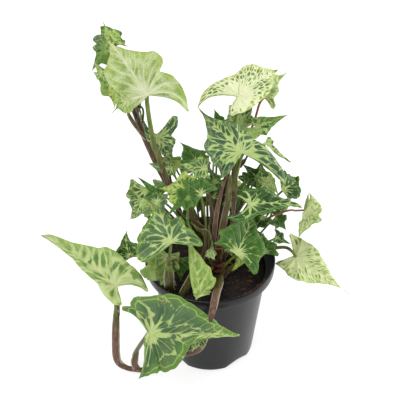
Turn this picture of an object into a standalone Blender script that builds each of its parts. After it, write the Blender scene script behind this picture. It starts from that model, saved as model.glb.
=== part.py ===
"""Arrowhead plant in a plastic nursery pot.

The pot stands on z = 0 with its axis on the origin, x to the right, y away from the viewer.
Stems grow out of the soil, and every leaf is a thin arrow-shaped blade on its own leaf stalk.
Lengths are written in millimetres and become metres only when a mesh is made.
"""
import math

import bmesh
import bpy
import numpy as np

MM = 0.001
GAP = 0.3

# Pot
POT_HEIGHT = 107.0
RIM_RADIUS = 60.0
RIM_DEPTH = 10.4
RIM_LIP = 2.2
RIM_ROUND = 0.9
RIM_DRAFT = 0.5
LEDGE = 2.0
BASE_RADIUS = 41.0
WALL_TOP_RADIUS = 52.4
WALL = 1.6
BASE_THICKNESS = 2.4
BASE_ROUND = 2.0
POT_SIDES = 36
CUTTER_SIDES = 10
CUTTER_LENGTH = 12.0
DRAIN_HOLES = 4
DRAIN_HOLE_RADIUS = 4.0
DRAIN_HOLE_RING = 24.0
FOOT_NOTCHES = 8
FOOT_NOTCH_RADIUS = 5.5
FOOT_NOTCH_DROP = 1.3

# Soil
SOIL_TOP = 95.0
SOIL_CROWN = 1.5
SOIL_RINGS = (14.0, 27.0, 39.0)
SOIL_EDGE = 2.0
SOIL_SIDES = 30
BROAD_LUMPS = (0.31, 0.7, 0.27)
SLANTED_LUMPS = (0.6, 0.13, 0.35)
STEM_HOLE_LENGTH = 40.0
STEM_ROOM = 0.6

# Leaves
BLADE_THICKNESS = 0.8
LOBE_DROOP = 20.0
SHOULDER_LEAD = 20.0
SINUS = 0.03
SINUS_LEAST = 1.8
MIDRIB_SOFTNESS = 0.1
WAVE = 0.04
WAVES_AROUND = 7
OUTLINE_STEPS = (5, 4, 3)
RINGS = (0.5, 1.0)
USUAL_SHAPE = {"shoulder": 0.14, "waist": 0.15, "tail": 0.35, "horns": (25.0, 25.0)}
VARIETY = {"sweep": (0.1, 1.9), "hook": (0.12, 2.7), "cup": (0.12, 3.3)}

# Handles of the outline's curves, as shares of the blade's sizes
TIP_HANDLE = (0.8, 0.1)
TAIL_PULL = (0.3, 0.08)
SIDE_LEAD = 0.3
WAIST_TURN = 0.4
LOBE_TURN = (0.3, 25.0)
LOBE_FULLNESS = 0.8
INNER_HANDLE = (0.97, 0.66)
NOTCH_HANDLE = (0.4, 0.45)
HOOK_START = 0.55
HORN_START = 8.0
HORN_FADE = 100.0

# Stems
STALK_SIDES = 5
STEM_SIDES = 7
STALK_BASE_RADIUS = 1.7
STALK_TIP_RADIUS = 1.3
STALK_STEP = 20.0
ROOT_END = 80.0
LAST_BEND = 9.0

# Corners sharper than these angles stay sharp
POT_CORNER = 35.0
SOIL_CORNER = 50.0
STEM_CORNER = 60.0

# Finishes: colour, roughness
POT_PLASTIC = ("pot_plastic", (0.045, 0.046, 0.052), 0.4)
SOIL_FINISH = ("soil", (0.03, 0.022, 0.016), 0.95)
STEM_FINISH = ("stem", (0.16, 0.11, 0.06), 0.5)
PALE = ("leaf_pale", (0.62, 0.72, 0.34), 0.45)
MIXED = ("leaf_mixed", (0.25, 0.42, 0.16), 0.45)
DARK = ("leaf_dark", (0.07, 0.2, 0.05), 0.45)

# Stems: for each one, the radii at its foot and top, and the points of its main run
STEMS = {
    "stem_climber": (3.2, 2.4, [
        (-14, 10, 98), (-20, 13, 120), (-33, 19, 162), (-50, 26, 202), (-62, 31, 235), (-70, 36, 262)]),
    "stem_crown": (7.0, 5.5, [(0, 0, 98), (0, 0, 106)]),
    "stem_right": (3.4, 2.8, [(24, 6, 98), (25, 6, 106)]),
    "stem_right_low": (2.4, 2.2, [(12, -13, 97), (16, -11, 101), (24, -6, 103)]),
    "stem_left": (3.6, 2.4, [(-30, -31, 97), (-33, -37, 108), (-36, -44, 124), (-36, -45, 138)]),
    "stem_front": (2.8, 2.2, [(-20, -36, 97), (-15, -31, 110), (-9, -24, 121)]),
    "stem_trailing": (3.2, 2.8, [
        (8, -18, 97), (9, -26, 104), (10, -40, 107), (10, -53, 111.5), (8, -62, 111), (3, -68, 103),
        (-2, -68, 86), (-5, -64, 62), (-20, -62, 38), (-42, -56, 19), (-60, -43, 7), (-72, -30, 3.4),
        (-80, -27, 5), (-84.5, -27, 16), (-85.5, -27, 42), (-86, -26, 72)]),
}

SOLVERS = {"UNION": "EXACT", "DIFFERENCE": "EXACT"}
LEAVES = []


def leaf(name, at, blade, lobes, splay, aim, bend, tone, stem, route, **shape):
    """Write down one leaf, in millimetres and degrees.

    at: where the stalk meets the blade. blade: length, half width left, half width right.
    lobes: length of the left and right back lobe. splay: how far each lobe turns out from straight back.
    aim: heading (0 is right, 90 is away), rise of the midrib, roll about the midrib.
    bend: downward arch along the midrib, upward fold across it. route: the stalk's points from its stem.
    shape: place of the shoulders, waist behind them, thin tail at the tip, sideways sweep and drop of the
    tip, raised sides, and horns: how many degrees further out the left and right lobes start than they end.
    The sweep, hook and cup differ a little from leaf to leaf, unless a row gives them.
    """
    number = len(LEAVES)
    variety = {title: most * math.sin(step * number) for title, (most, step) in VARIETY.items()}
    LEAVES.append(dict(name=name, at=np.array(at, float), blade=blade, lobes=lobes, splay=splay, aim=aim,
                       bend=bend, tone=tone, stem=stem, route=route, number=number,
                       shape={**USUAL_SHAPE, **variety, **shape}))


leaf("leaf_climber_1", (-54, 25, 270), (62, 26, 25), (28, 37), (95, 36), (132, 35, -20), (16, 6), PALE,
     "stem_climber", [(-31, 17, 158), (-37, 8, 185), (-42, 5, 208), (-48, 8, 228), (-52, 15, 250)],
     waist=0.2, tail=0.1, sweep=0, hook=0, cup=0, horns=(20, 35))
leaf("leaf_climber_2", (-87, 84, 282), (27, 13, 12), (16, 14), (90, 85), (112, 40, -22), (37, 20), MIXED,
     "stem_climber", [(-69, 38, 258), (-66, 54, 262), (-72, 74, 269)])
leaf("leaf_climber_3", (-91, 72, 283), (20, 9, 9), (11, 11), (60, 80), (-172, -39, 130), (25, 5), DARK,
     "stem_climber", [(-72, 74, 269), (-84, 82, 276)])
leaf("leaf_climber_4", (-80, 52, 257), (33, 12, 12), (9, 8), (74, 82), (173, 49, 135), (20, 15), DARK,
     "stem_climber", [(-67, 34, 250)])
leaf("leaf_climber_5", (-69, 4, 278), (20, 9, 8), (13, 14), (91, 113), (-170, -26, -45), (37, 13), MIXED,
     "stem_climber", [(-62, 31, 235), (-77, 12, 248)])
leaf("leaf_climber_6", (-65, 46, 245), (18, 6, 6), (7, 7), (60, 60), (-28, -56, -6), (20, 12), MIXED,
     "stem_climber", [(-60, 30, 230)])
leaf("leaf_climber_7", (-46, 25, 227), (32, 12, 11), (21, 18), (70, 20), (-42, -56, 25), (29, 10), MIXED,
     "stem_climber", [(-35, 20, 166), (-37, 26, 194), (-40, 30, 212)])

leaf("leaf_crown_1", (27, 18, 214), (60, 25, 21), (28, 48), (74, 16), (131, 18, -11), (10, 0), MIXED,
     "stem_crown", [(4, 1, 98), (9, 0, 130), (16, 4, 170), (23, 10, 196)],
     waist=0.1, tail=0.6, sweep=0, hook=0, cup=-0.05, horns=(20, 10))
leaf("leaf_crown_2", (25, 60, 245), (58, 20, 15), (38, 23), (27, 30), (44, 13, 22), (24, 8), PALE,
     "stem_crown", [(3, 4, 98), (8, 14, 130), (15, 34, 170), (21, 54, 210)],
     shoulder=0.42, waist=0.35, tail=0.2, sweep=0, hook=0.15, cup=0, horns=(28, -5))
leaf("leaf_crown_3", (50, 81, 230), (40, 12, 8), (15, 13), (30, 65), (60, 12, 46), (15, 20), PALE,
     "stem_crown", [(5, 4, 98), (12, 14, 140), (24, 46, 180), (39, 68, 208)])
leaf("leaf_crown_4", (30, 72, 202), (34, 15, 15), (18, 15), (110, 87), (128, 22, -22), (25, 12), PALE,
     "stem_crown", [(4, 6, 98), (10, 20, 135), (19, 38, 165), (24, 60, 188)])
leaf("leaf_crown_5", (8, 62, 213), (16, 6, 6), (8, 8), (80, 80), (104, 44, -10), (24, 9), DARK,
     "stem_crown", [(1, 6, 98), (4, 18, 140), (6, 46, 185)])
leaf("leaf_crown_6", (42, 56, 215), (31, 8, 10), (13, 12), (35, 50), (10, 14, 50), (21, 7), DARK,
     "stem_crown", [(6, 4, 98), (13, 14, 135), (26, 46, 178), (37, 56, 199)])
leaf("leaf_crown_7", (36, 42, 217), (14, 6, 6), (10, 10), (64, 40), (8, 4, -150), (23, 8), DARK,
     "stem_crown", [(26, 46, 178), (33, 38, 194)])
leaf("leaf_crown_8", (50, 36, 212), (29, 10, 9), (9, 9), (40, 60), (-32, -37, 17), (22, 15), MIXED,
     "stem_crown", [(6, 2, 98), (18, 10, 135), (38, 34, 172), (50, 42, 192)])
leaf("leaf_crown_9", (35, 36, 166), (20, 9, 9), (11, 11), (90, 95), (60, 32, 20), (27, 10), MIXED,
     "stem_crown", [(6, 5, 98), (14, 14, 125), (26, 28, 148)])
leaf("leaf_crown_10", (50, 24, 177), (16, 6, 6), (7, 7), (80, 74), (-24, -38, 24), (23, 9), PALE,
     "stem_crown", [(7, 1, 98), (16, 6, 125), (36, 18, 155)])
leaf("leaf_crown_11", (-12, 24, 199), (24, 11, 11), (15, 12), (110, 86), (122, 38, -20), (24, 10), DARK,
     "stem_crown", [(-2, 2, 98), (-5, 6, 140), (-9, 15, 175)])
leaf("leaf_crown_12", (-4, 12, 201), (26, 10, 10), (10, 9), (67, 82), (176, 4, -45), (20, 7), MIXED,
     "stem_crown", [(-1, -1, 98), (-2, 0, 140), (-3, 8, 178)])

leaf("leaf_right_1", (35, -8, 176), (48, 16, 14), (23, 23), (30, 22), (5, 6, 28), (21, 9), DARK,
     "stem_right", [(24, 5, 100), (25, 2, 130), (30, -1, 155)])
leaf("leaf_right_2", (66, 25, 166), (30, 14, 13), (16, 13), (98, 72), (42, -2, 35), (29, 18), DARK,
     "stem_right", [(24, 7, 100), (34, 12, 130), (52, 22, 150)])
leaf("leaf_right_3", (85, 10, 155), (25, 12, 11), (18, 16), (20, 55), (-94, -42, -50), (25, 30), PALE,
     "stem_right", [(24, 6, 100), (34, 5, 128), (48, 6, 145), (60, 8, 152), (72, 10, 155)])
leaf("leaf_right_4", (79, 5, 104), (61, 17, 20), (21, 20), (45, 56), (-30, -18, 30), (18, 7), PALE,
     "stem_right_low", [(24, -6, 103), (37, 1, 106), (50, 5, 110), (61, 6, 113.5), (70, 7, 113)],
     waist=0.1, tail=0.9, sweep=0, hook=0, cup=0.1, horns=(15, 20))
leaf("leaf_right_5", (24, -32, 140), (42, 21, 22), (24, 24), (85, 66), (62, 34, 27), (34, 11), DARK,
     "stem_trailing", [(9, -20, 99), (13, -22, 116)])
leaf("leaf_right_6", (48, -15, 127), (21, 12, 12), (12, 13), (86, 77), (96, 45, -1), (22, 11), DARK,
     "stem_right", [(25, 4, 103), (37, -5, 114)])
leaf("leaf_right_7", (60, 0, 131), (14, 6, 6), (7, 7), (40, 65), (-13, -29, 28), (24, 29), DARK,
     "stem_right", [(25, 5, 102), (40, 2, 118)])
leaf("leaf_right_8", (60, 18, 138), (16, 8, 8), (11, 10), (88, 53), (-12, -36, 36), (25, 10), DARK,
     "stem_right", [(25, 6, 103), (42, 12, 120)])

leaf("leaf_left_1", (-34, -46, 166), (42, 25, 20), (33, 29), (80, 62), (114, 32, -15), (30, 7), MIXED,
     "stem_left", [(-36, -44, 126), (-36, -45, 142)],
     waist=0.15, tail=0.3, sweep=0, hook=0, cup=0, horns=(20, 25))
leaf("leaf_left_2", (-21, -11, 193), (25, 15, 16), (13, 16), (78, 85), (162, 11, -40), (26, 10), PALE,
     "stem_crown", [(-3, -1, 98), (-7, -3, 130), (-15, -6, 165)])
leaf("leaf_left_3", (-35, 13, 201), (20, 8, 8), (8, 8), (70, 60), (-178, -2, -68), (12, 5), DARK,
     "stem_crown", [(-4, 1, 98), (-10, 5, 130), (-24, 12, 170)])
leaf("leaf_left_4", (-8, -18, 196), (27, 10, 13), (12, 14), (85, 57), (149, 25, -35), (20, 10), DARK,
     "stem_front", [(-9, -24, 121), (-5, -20, 135), (-4, -18, 162)])
leaf("leaf_left_5", (-19, -27, 199), (23, 10, 10), (10, 9), (90, 62), (-161, -16, -39), (20, 8), DARK,
     "stem_crown", [(-2, -4, 98), (-8, -12, 130), (-19, -25, 168)])
leaf("leaf_left_6", (-47, -20, 188), (16, 8, 8), (10, 11), (72, 90), (40, 30, 34), (24, 10), DARK,
     "stem_crown", [(-4, -2, 98), (-12, -4, 130), (-24, -6, 162), (-38, -6, 182)])
leaf("leaf_left_7", (-45, -6, 184), (26, 11, 11), (11, 11), (95, 90), (141, 29, -32), (20, 8), DARK,
     "stem_crown", [(-5, 0, 98), (-14, 0, 128), (-30, -4, 162)])
leaf("leaf_left_8", (-58, 8, 181), (31, 13, 14), (12, 14), (67, 67), (-106, -58, 7), (18, 10), MIXED,
     "stem_crown", [(-5, 1, 98), (-18, 4, 128), (-42, 8, 160)])
leaf("leaf_left_9", (-74, 5, 104), (26, 11, 11), (14, 15), (90, 90), (122, 40, -25), (20, 10), DARK,
     "stem_left", [(-33, -36, 108), (-48, -26, 115), (-64, -10, 116)])

leaf("leaf_front_1", (-8, -53, 110), (56, 7, 14), (7, 9), (75, 80), (124, 65, -12), (11, 15), PALE,
     "stem_trailing", [(9, -38, 107), (2, -40, 105)])
leaf("leaf_front_2", (-49, -36, 113), (28, 13, 13), (9, 8), (85, 85), (89, 65, -179), (15, 8), MIXED,
     "stem_left", [(-32, -34, 104), (-40, -32, 111)])
leaf("leaf_front_3", (-26, -29, 130), (25, 8, 8), (8, 8), (80, 76), (-82, -62, 7), (15, 8), DARK,
     "stem_left", [(-36, -45, 136), (-32, -36, 136)])
leaf("leaf_front_4", (-1, -34, 139), (13, 5, 5), (5, 5), (75, 73), (62, 41, 45), (23, 28), PALE,
     "stem_crown", [(0, -4, 98), (-1, -14, 112), (-1, -26, 128)])

leaf("leaf_trailing_1", (-53, -78, 88), (80, 36, 35), (35, 46), (45, 80), (0, -4, 68), (5, 8), MIXED,
     "stem_trailing", [(-71, -31, 4), (-71, -38, 18), (-65, -54, 46), (-58, -64, 68)],
     waist=0.12, tail=0.5, sweep=0, hook=0, cup=0, horns=(25, 15))
leaf("leaf_trailing_2", (-86, -28, 98), (90, 10, 24), (24, 31), (34, 30), (139, 14, -18), (9, 20), PALE,
     "stem_trailing", [(-86, -27, 60), (-85, -27, 82)],
     waist=0.1, tail=0.6, sweep=0.1, hook=0, cup=0, horns=(5, 25))

leaf("leaf_back_1", (-32, 46, 158), (44, 19, 19), (21, 21), (45, 45), (104, -38, 0), (20, 10), MIXED,
     "stem_crown", [(-3, 4, 98), (-10, 16, 120), (-24, 34, 142)])
leaf("leaf_back_2", (4, 56, 150), (48, 17, 17), (23, 23), (45, 45), (92, -42, 0), (20, 10), DARK,
     "stem_crown", [(0, 6, 98), (1, 22, 122), (3, 42, 138)])
leaf("leaf_back_3", (38, 52, 146), (44, 16, 17), (19, 21), (45, 45), (72, -40, 0), (20, 10), MIXED,
     "stem_crown", [(4, 6, 98), (14, 20, 118), (28, 38, 134)])
leaf("leaf_back_4", (-14, 40, 178), (38, 16, 16), (18, 18), (45, 45), (98, -18, 0), (20, 10), PALE,
     "stem_crown", [(-1, 5, 98), (-4, 12, 130), (-10, 28, 158)])
leaf("leaf_back_5", (58, 40, 128), (34, 15, 15), (16, 16), (45, 45), (78, -32, 0), (20, 10), DARK,
     "stem_crown", [(6, 4, 98), (20, 14, 108), (42, 28, 118)])


def clear_scene():
    """Start from an empty scene."""
    for item in list(bpy.data.objects):
        bpy.data.objects.remove(item, do_unlink=True)


def finish(name, colour, roughness):
    """Return a Principled material with one colour and roughness."""
    material = bpy.data.materials.new(name)
    material.use_nodes = True
    shader = material.node_tree.nodes["Principled BSDF"]
    shader.inputs["Base Color"].default_value = (*colour, 1.0)
    shader.inputs["Roughness"].default_value = roughness
    shader.inputs["Metallic"].default_value = 0.0
    return material


def new_object(name, vertices, faces, look):
    """Make a mesh object from points in millimetres, with its own material."""
    mesh = bpy.data.meshes.new(name)
    mesh.from_pydata([tuple(float(value) * MM for value in point) for point in vertices], [], faces)
    mesh.update()
    item = bpy.data.objects.new(name, mesh)
    item.data.materials.append(finish(name + "_" + look[0], look[1], look[2]))
    bpy.context.scene.collection.objects.link(item)
    return item


def turned(name, profile, sides, look):
    """Spin a profile of (radius, height) points, with both ends on the axis, once round the axis."""
    item = new_object(name, [(radius, 0.0, height) for radius, height in profile], [], look)
    shape = bmesh.new()
    shape.from_mesh(item.data)
    shape.verts.ensure_lookup_table()
    edges = [shape.edges.new(pair) for pair in zip(shape.verts[:-1], shape.verts[1:])]
    bmesh.ops.spin(shape, geom=list(shape.verts) + edges, cent=(0, 0, 0), axis=(0, 0, 1),
                   angle=2 * math.pi, steps=sides, use_merge=True)
    bmesh.ops.remove_doubles(shape, verts=shape.verts, dist=0.00001)
    bmesh.ops.recalc_face_normals(shape, faces=shape.faces)
    shape.to_mesh(item.data)
    shape.free()
    return item


def cutter(name, radius, length, centre, axis_turn):
    """Make a round cutter, hidden from the build, with its upright axis turned by three angles."""
    bpy.ops.mesh.primitive_cylinder_add(vertices=CUTTER_SIDES, radius=radius * MM, depth=length * MM,
                                        location=[value * MM for value in centre], rotation=axis_turn)
    item = bpy.context.object
    item.name = name
    item.hide_render = True
    item.display_type = "WIRE"
    return item


def combine(item, pieces, operation):
    """Join the pieces to the object, or cut them from it, and keep the result as its mesh."""
    group = bpy.data.collections.new("pieces")
    for piece in pieces:
        group.objects.link(piece)
    change = item.modifiers.new("combine", "BOOLEAN")
    change.operation = operation
    change.operand_type = "COLLECTION"
    change.collection = group
    change.solver = SOLVERS[operation]
    result = bpy.data.meshes.new_from_object(item.evaluated_get(bpy.context.evaluated_depsgraph_get()))
    item.modifiers.clear()
    item.data = result
    for piece in pieces:
        bpy.data.objects.remove(piece, do_unlink=True)
    bpy.data.collections.remove(group)


def shade(item, angle):
    """Shade round faces smooth and keep real corners sharp."""
    item.data.shade_smooth()
    item.data.set_sharp_from_angle(angle=math.radians(angle))


def make_pot():
    """A tapered pot with a stepped collar, round drain holes and half-round notches at its foot."""
    band = POT_HEIGHT - RIM_DEPTH
    profile = [
        (0, 0), (BASE_RADIUS - BASE_ROUND, 0), (BASE_RADIUS, BASE_ROUND), (WALL_TOP_RADIUS, band),
        (RIM_RADIUS - RIM_DRAFT - RIM_ROUND, band), (RIM_RADIUS - RIM_DRAFT, band + RIM_ROUND),
        (RIM_RADIUS, POT_HEIGHT - RIM_ROUND), (RIM_RADIUS - RIM_ROUND, POT_HEIGHT),
        (RIM_RADIUS - RIM_LIP, POT_HEIGHT), (RIM_RADIUS - RIM_LIP - RIM_DRAFT, band + LEDGE + RIM_DRAFT),
        (WALL_TOP_RADIUS - RIM_DRAFT, band + LEDGE - RIM_DRAFT), (WALL_TOP_RADIUS - WALL, band - WALL),
        (BASE_RADIUS - WALL, BASE_THICKNESS + BASE_ROUND), (BASE_RADIUS - WALL - BASE_ROUND, BASE_THICKNESS),
        (0, BASE_THICKNESS)]
    pot = turned("pot", profile, POT_SIDES, POT_PLASTIC)
    cutters = []
    for number in range(DRAIN_HOLES):
        angle = math.tau * (number + 0.5) / DRAIN_HOLES
        centre = (DRAIN_HOLE_RING * math.cos(angle), DRAIN_HOLE_RING * math.sin(angle), 0)
        cutters.append(cutter("drain_cutter", DRAIN_HOLE_RADIUS, CUTTER_LENGTH, centre, (0, 0, 0)))
    for number in range(FOOT_NOTCHES):
        angle = math.tau * (number + 0.5) / FOOT_NOTCHES
        centre = (BASE_RADIUS * math.cos(angle), BASE_RADIUS * math.sin(angle), -FOOT_NOTCH_DROP)
        cutters.append(cutter("notch_cutter", FOOT_NOTCH_RADIUS, CUTTER_LENGTH, centre,
                              (0, math.pi / 2, angle)))
    combine(pot, cutters, "DIFFERENCE")
    shade(pot, POT_CORNER)


def make_soil():
    """Potting soil that fills the pot to below its collar, with a plain hole for each stem's foot."""
    low = BASE_THICKNESS + BASE_ROUND
    high = POT_HEIGHT - RIM_DEPTH - WALL
    low_radius = BASE_RADIUS - WALL - GAP
    slope = (WALL_TOP_RADIUS - BASE_RADIUS) / (high - low)
    edge_height = SOIL_TOP - SOIL_EDGE
    edge_radius = low_radius + slope * (edge_height - low)
    bottom = BASE_THICKNESS + GAP
    profile = [(0, bottom), (low_radius - BASE_ROUND, bottom), (low_radius, low + GAP),
               (edge_radius, edge_height), (edge_radius - SOIL_EDGE / 2, SOIL_TOP - SOIL_EDGE / 2)]
    profile += [(radius, SOIL_TOP) for radius in reversed(SOIL_RINGS)]
    profile += [(0, SOIL_TOP)]
    soil = turned("soil", profile, SOIL_SIDES, SOIL_FINISH)
    for vertex in soil.data.vertices:
        if vertex.co.z > (SOIL_TOP - GAP) * MM:
            x, y = vertex.co.x / MM, vertex.co.y / MM
            across, start, along = BROAD_LUMPS
            share, slant_x, slant_y = SLANTED_LUMPS
            lump = math.sin(across * x + start) * math.cos(along * y)
            lump += share * math.sin(slant_x * x - slant_y * y)
            vertex.co.z += SOIL_CROWN * (1 + lump) / 2 * MM
    cutters = []
    for foot_radius, _, points in STEMS.values():
        centre = (points[0][0], points[0][1], ROOT_END - GAP + STEM_HOLE_LENGTH / 2)
        cutters.append(cutter("stem_hole", foot_radius + STEM_ROOM, STEM_HOLE_LENGTH, centre, (0, 0, 0)))
    combine(soil, cutters, "DIFFERENCE")
    shade(soil, SOIL_CORNER)


def smooth_path(points, step):
    """Return points about one step apart on a Catmull-Rom curve through the given points."""
    points = np.array(points, float)
    ends = np.concatenate([[2 * points[0] - points[1]], points, [2 * points[-1] - points[-2]]])
    path = []
    for before, start, stop, after in zip(ends[:-3], ends[1:-2], ends[2:-1], ends[3:]):
        count = max(1, round(np.linalg.norm(stop - start) / step))
        t = np.arange(count)[:, None] / count
        path.append((2 * start + (stop - before) * t + (2 * before - 5 * start + 4 * stop - after) * t**2
                     + (3 * start - before - 3 * stop + after) * t**3) / 2)
    return np.concatenate(path + [points[-1:]])


def tube(name, path, radii, sides):
    """Carry a ring of points along the path, and close both ends."""
    tangents = np.gradient(path, axis=0)
    tangents /= np.linalg.norm(tangents, axis=1)[:, None]
    side = np.cross(tangents[0], (0.0, 1.0, 0.0) if abs(tangents[0][1]) < 0.9 else (1.0, 0.0, 0.0))
    angles = math.tau * np.arange(sides) / sides
    vertices = []
    for centre, tangent, radius in zip(path, tangents, radii):
        side = side - tangent * (side @ tangent)
        side /= np.linalg.norm(side)
        other = np.cross(tangent, side)
        vertices += [centre + radius * (math.cos(a) * side + math.sin(a) * other) for a in angles]
    faces = [tuple(reversed(range(sides))), tuple(range(len(vertices) - sides, len(vertices)))]
    for ring in range(len(path) - 1):
        for i in range(sides):
            j = (i + 1) % sides
            low, high = ring * sides, (ring + 1) * sides
            faces.append((low + i, low + j, high + j, high + i))
    return new_object(name, vertices, faces, STEM_FINISH)


def main_run(name, foot_radius, top_radius, points):
    """The stem itself: a straight foot in its soil hole, then its run."""
    foot = (points[0][0], points[0][1], ROOT_END)
    path = smooth_path([foot] + points, STALK_STEP)
    return tube(name, path, np.linspace(foot_radius, top_radius, len(path)), STEM_SIDES)


def leaf_stalk(plan):
    """The stalk from the leaf's stem to just under its blade, which it meets at a steep angle."""
    _, _, up = leaf_axes(plan["aim"])
    come = plan["at"] - np.array(plan["route"][-1], float)
    come /= np.linalg.norm(come)
    face = up if come @ up >= 0 else -up
    last = face + come
    last /= np.linalg.norm(last)
    steepness = last @ face
    edge = STALK_TIP_RADIUS * math.sqrt(1 - steepness * steepness)
    half_blade = BLADE_THICKNESS / 2 / math.cos(math.radians(plan["bend"][1]))
    end = plan["at"] - last * (half_blade + GAP + edge) / steepness
    before = plan["at"] - last * LAST_BEND
    path = smooth_path(plan["route"] + [tuple(before), tuple(end)], STALK_STEP)
    return tube("stalk", path, np.linspace(STALK_BASE_RADIUS, STALK_TIP_RADIUS, len(path)), STALK_SIDES)


def make_stems():
    """Every stem with its leaf stalks, grown together as one piece."""
    for name, (foot_radius, top_radius, points) in STEMS.items():
        stem = main_run(name, foot_radius, top_radius, points)
        stalks = [leaf_stalk(plan) for plan in LEAVES if plan["stem"] == name]
        combine(stem, stalks, "UNION")
        shade(stem, STEM_CORNER)


def leaf_axes(aim):
    """Turn heading, rise and roll into the leaf's forward, left and up directions."""
    heading, rise, roll = (math.radians(value) for value in aim)
    reach = math.cos(rise)
    forward = np.array([reach * math.cos(heading), reach * math.sin(heading), math.sin(rise)])
    level = np.array([-math.sin(heading), math.cos(heading), 0.0])
    above = np.cross(forward, level)
    left = level * math.cos(roll) + above * math.sin(roll)
    up = above * math.cos(roll) - level * math.sin(roll)
    return forward, left, up


def bezier(start, handle, other_handle, stop, count):
    """Points on a cubic curve, without its last one."""
    t = np.arange(count)[:, None] / count
    return (1 - t)**3 * start + 3 * t * (1 - t)**2 * handle + 3 * t**2 * (1 - t) * other_handle + t**3 * stop


def behind(reach, degrees):
    """The flat point at a distance from the stalk, turned out from straight back by an angle."""
    turn = math.radians(degrees)
    return np.array([-reach * math.cos(turn), reach * math.sin(turn)])


def notch(length):
    """The flat point where the two back lobes part, just behind the stalk."""
    return np.array([-max(SINUS * length, SINUS_LEAST), 0.0])


def half_outline(length, half_width, lobe, splay, shape, steps):
    """One half of the arrowhead: tip to shoulder, shoulder to lobe end, lobe end to the notch.

    The handles of all three curves turn one way round the stalk, so the outline never crosses itself.
    """
    tail = shape["tail"]
    lead = half_width * math.tan(math.radians(max(0.0, splay + SHOULDER_LEAD - 90.0)))
    shoulder = np.array([max(shape["shoulder"] * length, lead), half_width])
    turn = math.degrees(math.atan2(shoulder[1], -shoulder[0]))
    waist = behind(np.linalg.norm(shoulder) * (1 - shape["waist"]), turn - WAIST_TURN * (turn - splay))
    run = (shoulder - waist) / np.linalg.norm(shoulder - waist)
    run[1] = max(run[1], 0.0)
    side_handle = shoulder + SIDE_LEAD * (length - shoulder[0]) * run
    tip = np.array([length, 0.0])
    tip_handle = np.array([max((TIP_HANDLE[0] - TAIL_PULL[0] * tail) * length, side_handle[0]),
                           (TIP_HANDLE[1] - TAIL_PULL[1] * tail) * half_width])
    outer = behind(LOBE_FULLNESS * lobe, splay + min(LOBE_TURN[0] * (turn - splay), LOBE_TURN[1]))
    lobe_end = behind(lobe, splay)
    inner = behind(INNER_HANDLE[0] * lobe, INNER_HANDLE[1] * splay)
    notch_handle = behind(NOTCH_HANDLE[0] * lobe, NOTCH_HANDLE[1] * splay)
    return np.concatenate([
        bezier(tip, tip_handle, side_handle, shoulder, steps[0]),
        bezier(shoulder, waist, outer, lobe_end, steps[1]),
        bezier(lobe_end, inner, notch_handle, notch(length), steps[2])])


def set_horns(plan, flat):
    """Turn flat points round the stalk, most near it and none at the lobe ends, so that lobes curve back."""
    reach = np.hypot(flat[:, 0], flat[:, 1])
    turn = np.degrees(np.arctan2(np.abs(flat[:, 1]), -flat[:, 0]))
    left = flat[:, 1] >= 0
    lobe = np.where(left, *plan["lobes"])
    horn = np.where(left, *plan["shape"]["horns"])
    share = np.clip(turn / HORN_START, 0, 1) * np.clip((180 - turn) / HORN_FADE, 0, 1)
    turn = np.radians(turn + horn * share * np.clip(1 - (reach / lobe)**2, 0, 1))
    return np.stack([-reach * np.cos(turn), np.where(left, 1, -1) * reach * np.sin(turn)], axis=1)


def blade_outline(plan, steps):
    """The whole outline in the blade's own plane, from the tip round by the left and back by the right."""
    length = plan["blade"][0]
    left, right = (half_outline(length, width, lobe, splay, plan["shape"], steps)
                   for width, lobe, splay in zip(plan["blade"][1:], plan["lobes"], plan["splay"]))
    right = right * (1, -1)
    return np.concatenate([left, [notch(length)], right[:0:-1]])


def bend_blade(plan, flat, lift):
    """Bend flat blade points: fold, cup, hook, sweep, arch and drooping lobes, then put in place."""
    length = plan["blade"][0]
    width = (plan["blade"][1] + plan["blade"][2]) / 2
    arch, fold = plan["bend"]
    u, v = flat[:, 0], flat[:, 1]
    soft = MIDRIB_SOFTNESS * width
    w = math.tan(math.radians(fold)) * (np.sqrt(v * v + soft * soft) - soft) + lift
    w = w + plan["shape"]["cup"] * width * (v / width)**4
    w = w - plan["shape"]["hook"] * length * np.clip((u / length - HOOK_START) / (1 - HOOK_START), 0, 1)**2
    v = v + plan["shape"]["sweep"] * length * np.clip(u / length, 0, 1)**2
    curvature = np.radians(np.where(u > 0, max(arch, 1.0), LOBE_DROOP)) / length
    angle = curvature * u
    along = np.sin(angle) / curvature + w * np.sin(angle)
    height = (np.cos(angle) - 1) / curvature + w * np.cos(angle)
    forward, left, up = leaf_axes(plan["aim"])
    return plan["at"] + along[:, None] * forward + v[:, None] * left + height[:, None] * up


def flat_area(flat, *corners):
    """The signed area of a triangle of flat points."""
    a, b, c = (flat[k] for k in corners)
    return ((b[0] - a[0]) * (c[1] - a[1]) - (b[1] - a[1]) * (c[0] - a[0])) / 2


def blade_triangles(flat, count):
    """Triangles between the rings. Each four-sided cell is cut the way that leaves the fuller triangles."""
    triangles = [(0, 1 + i, 1 + (i + 1) % count) for i in range(count)]
    for ring in range(len(RINGS) - 1):
        near, far = 1 + ring * count, 1 + (ring + 1) * count
        for i in range(count):
            j = (i + 1) % count
            cuts = [((near + i, far + i, far + j), (near + i, far + j, near + j)),
                    ((near + i, far + i, near + j), (far + i, far + j, near + j))]
            triangles += max(cuts, key=lambda cut: min(flat_area(flat, *face) for face in cut))
    return triangles


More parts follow.
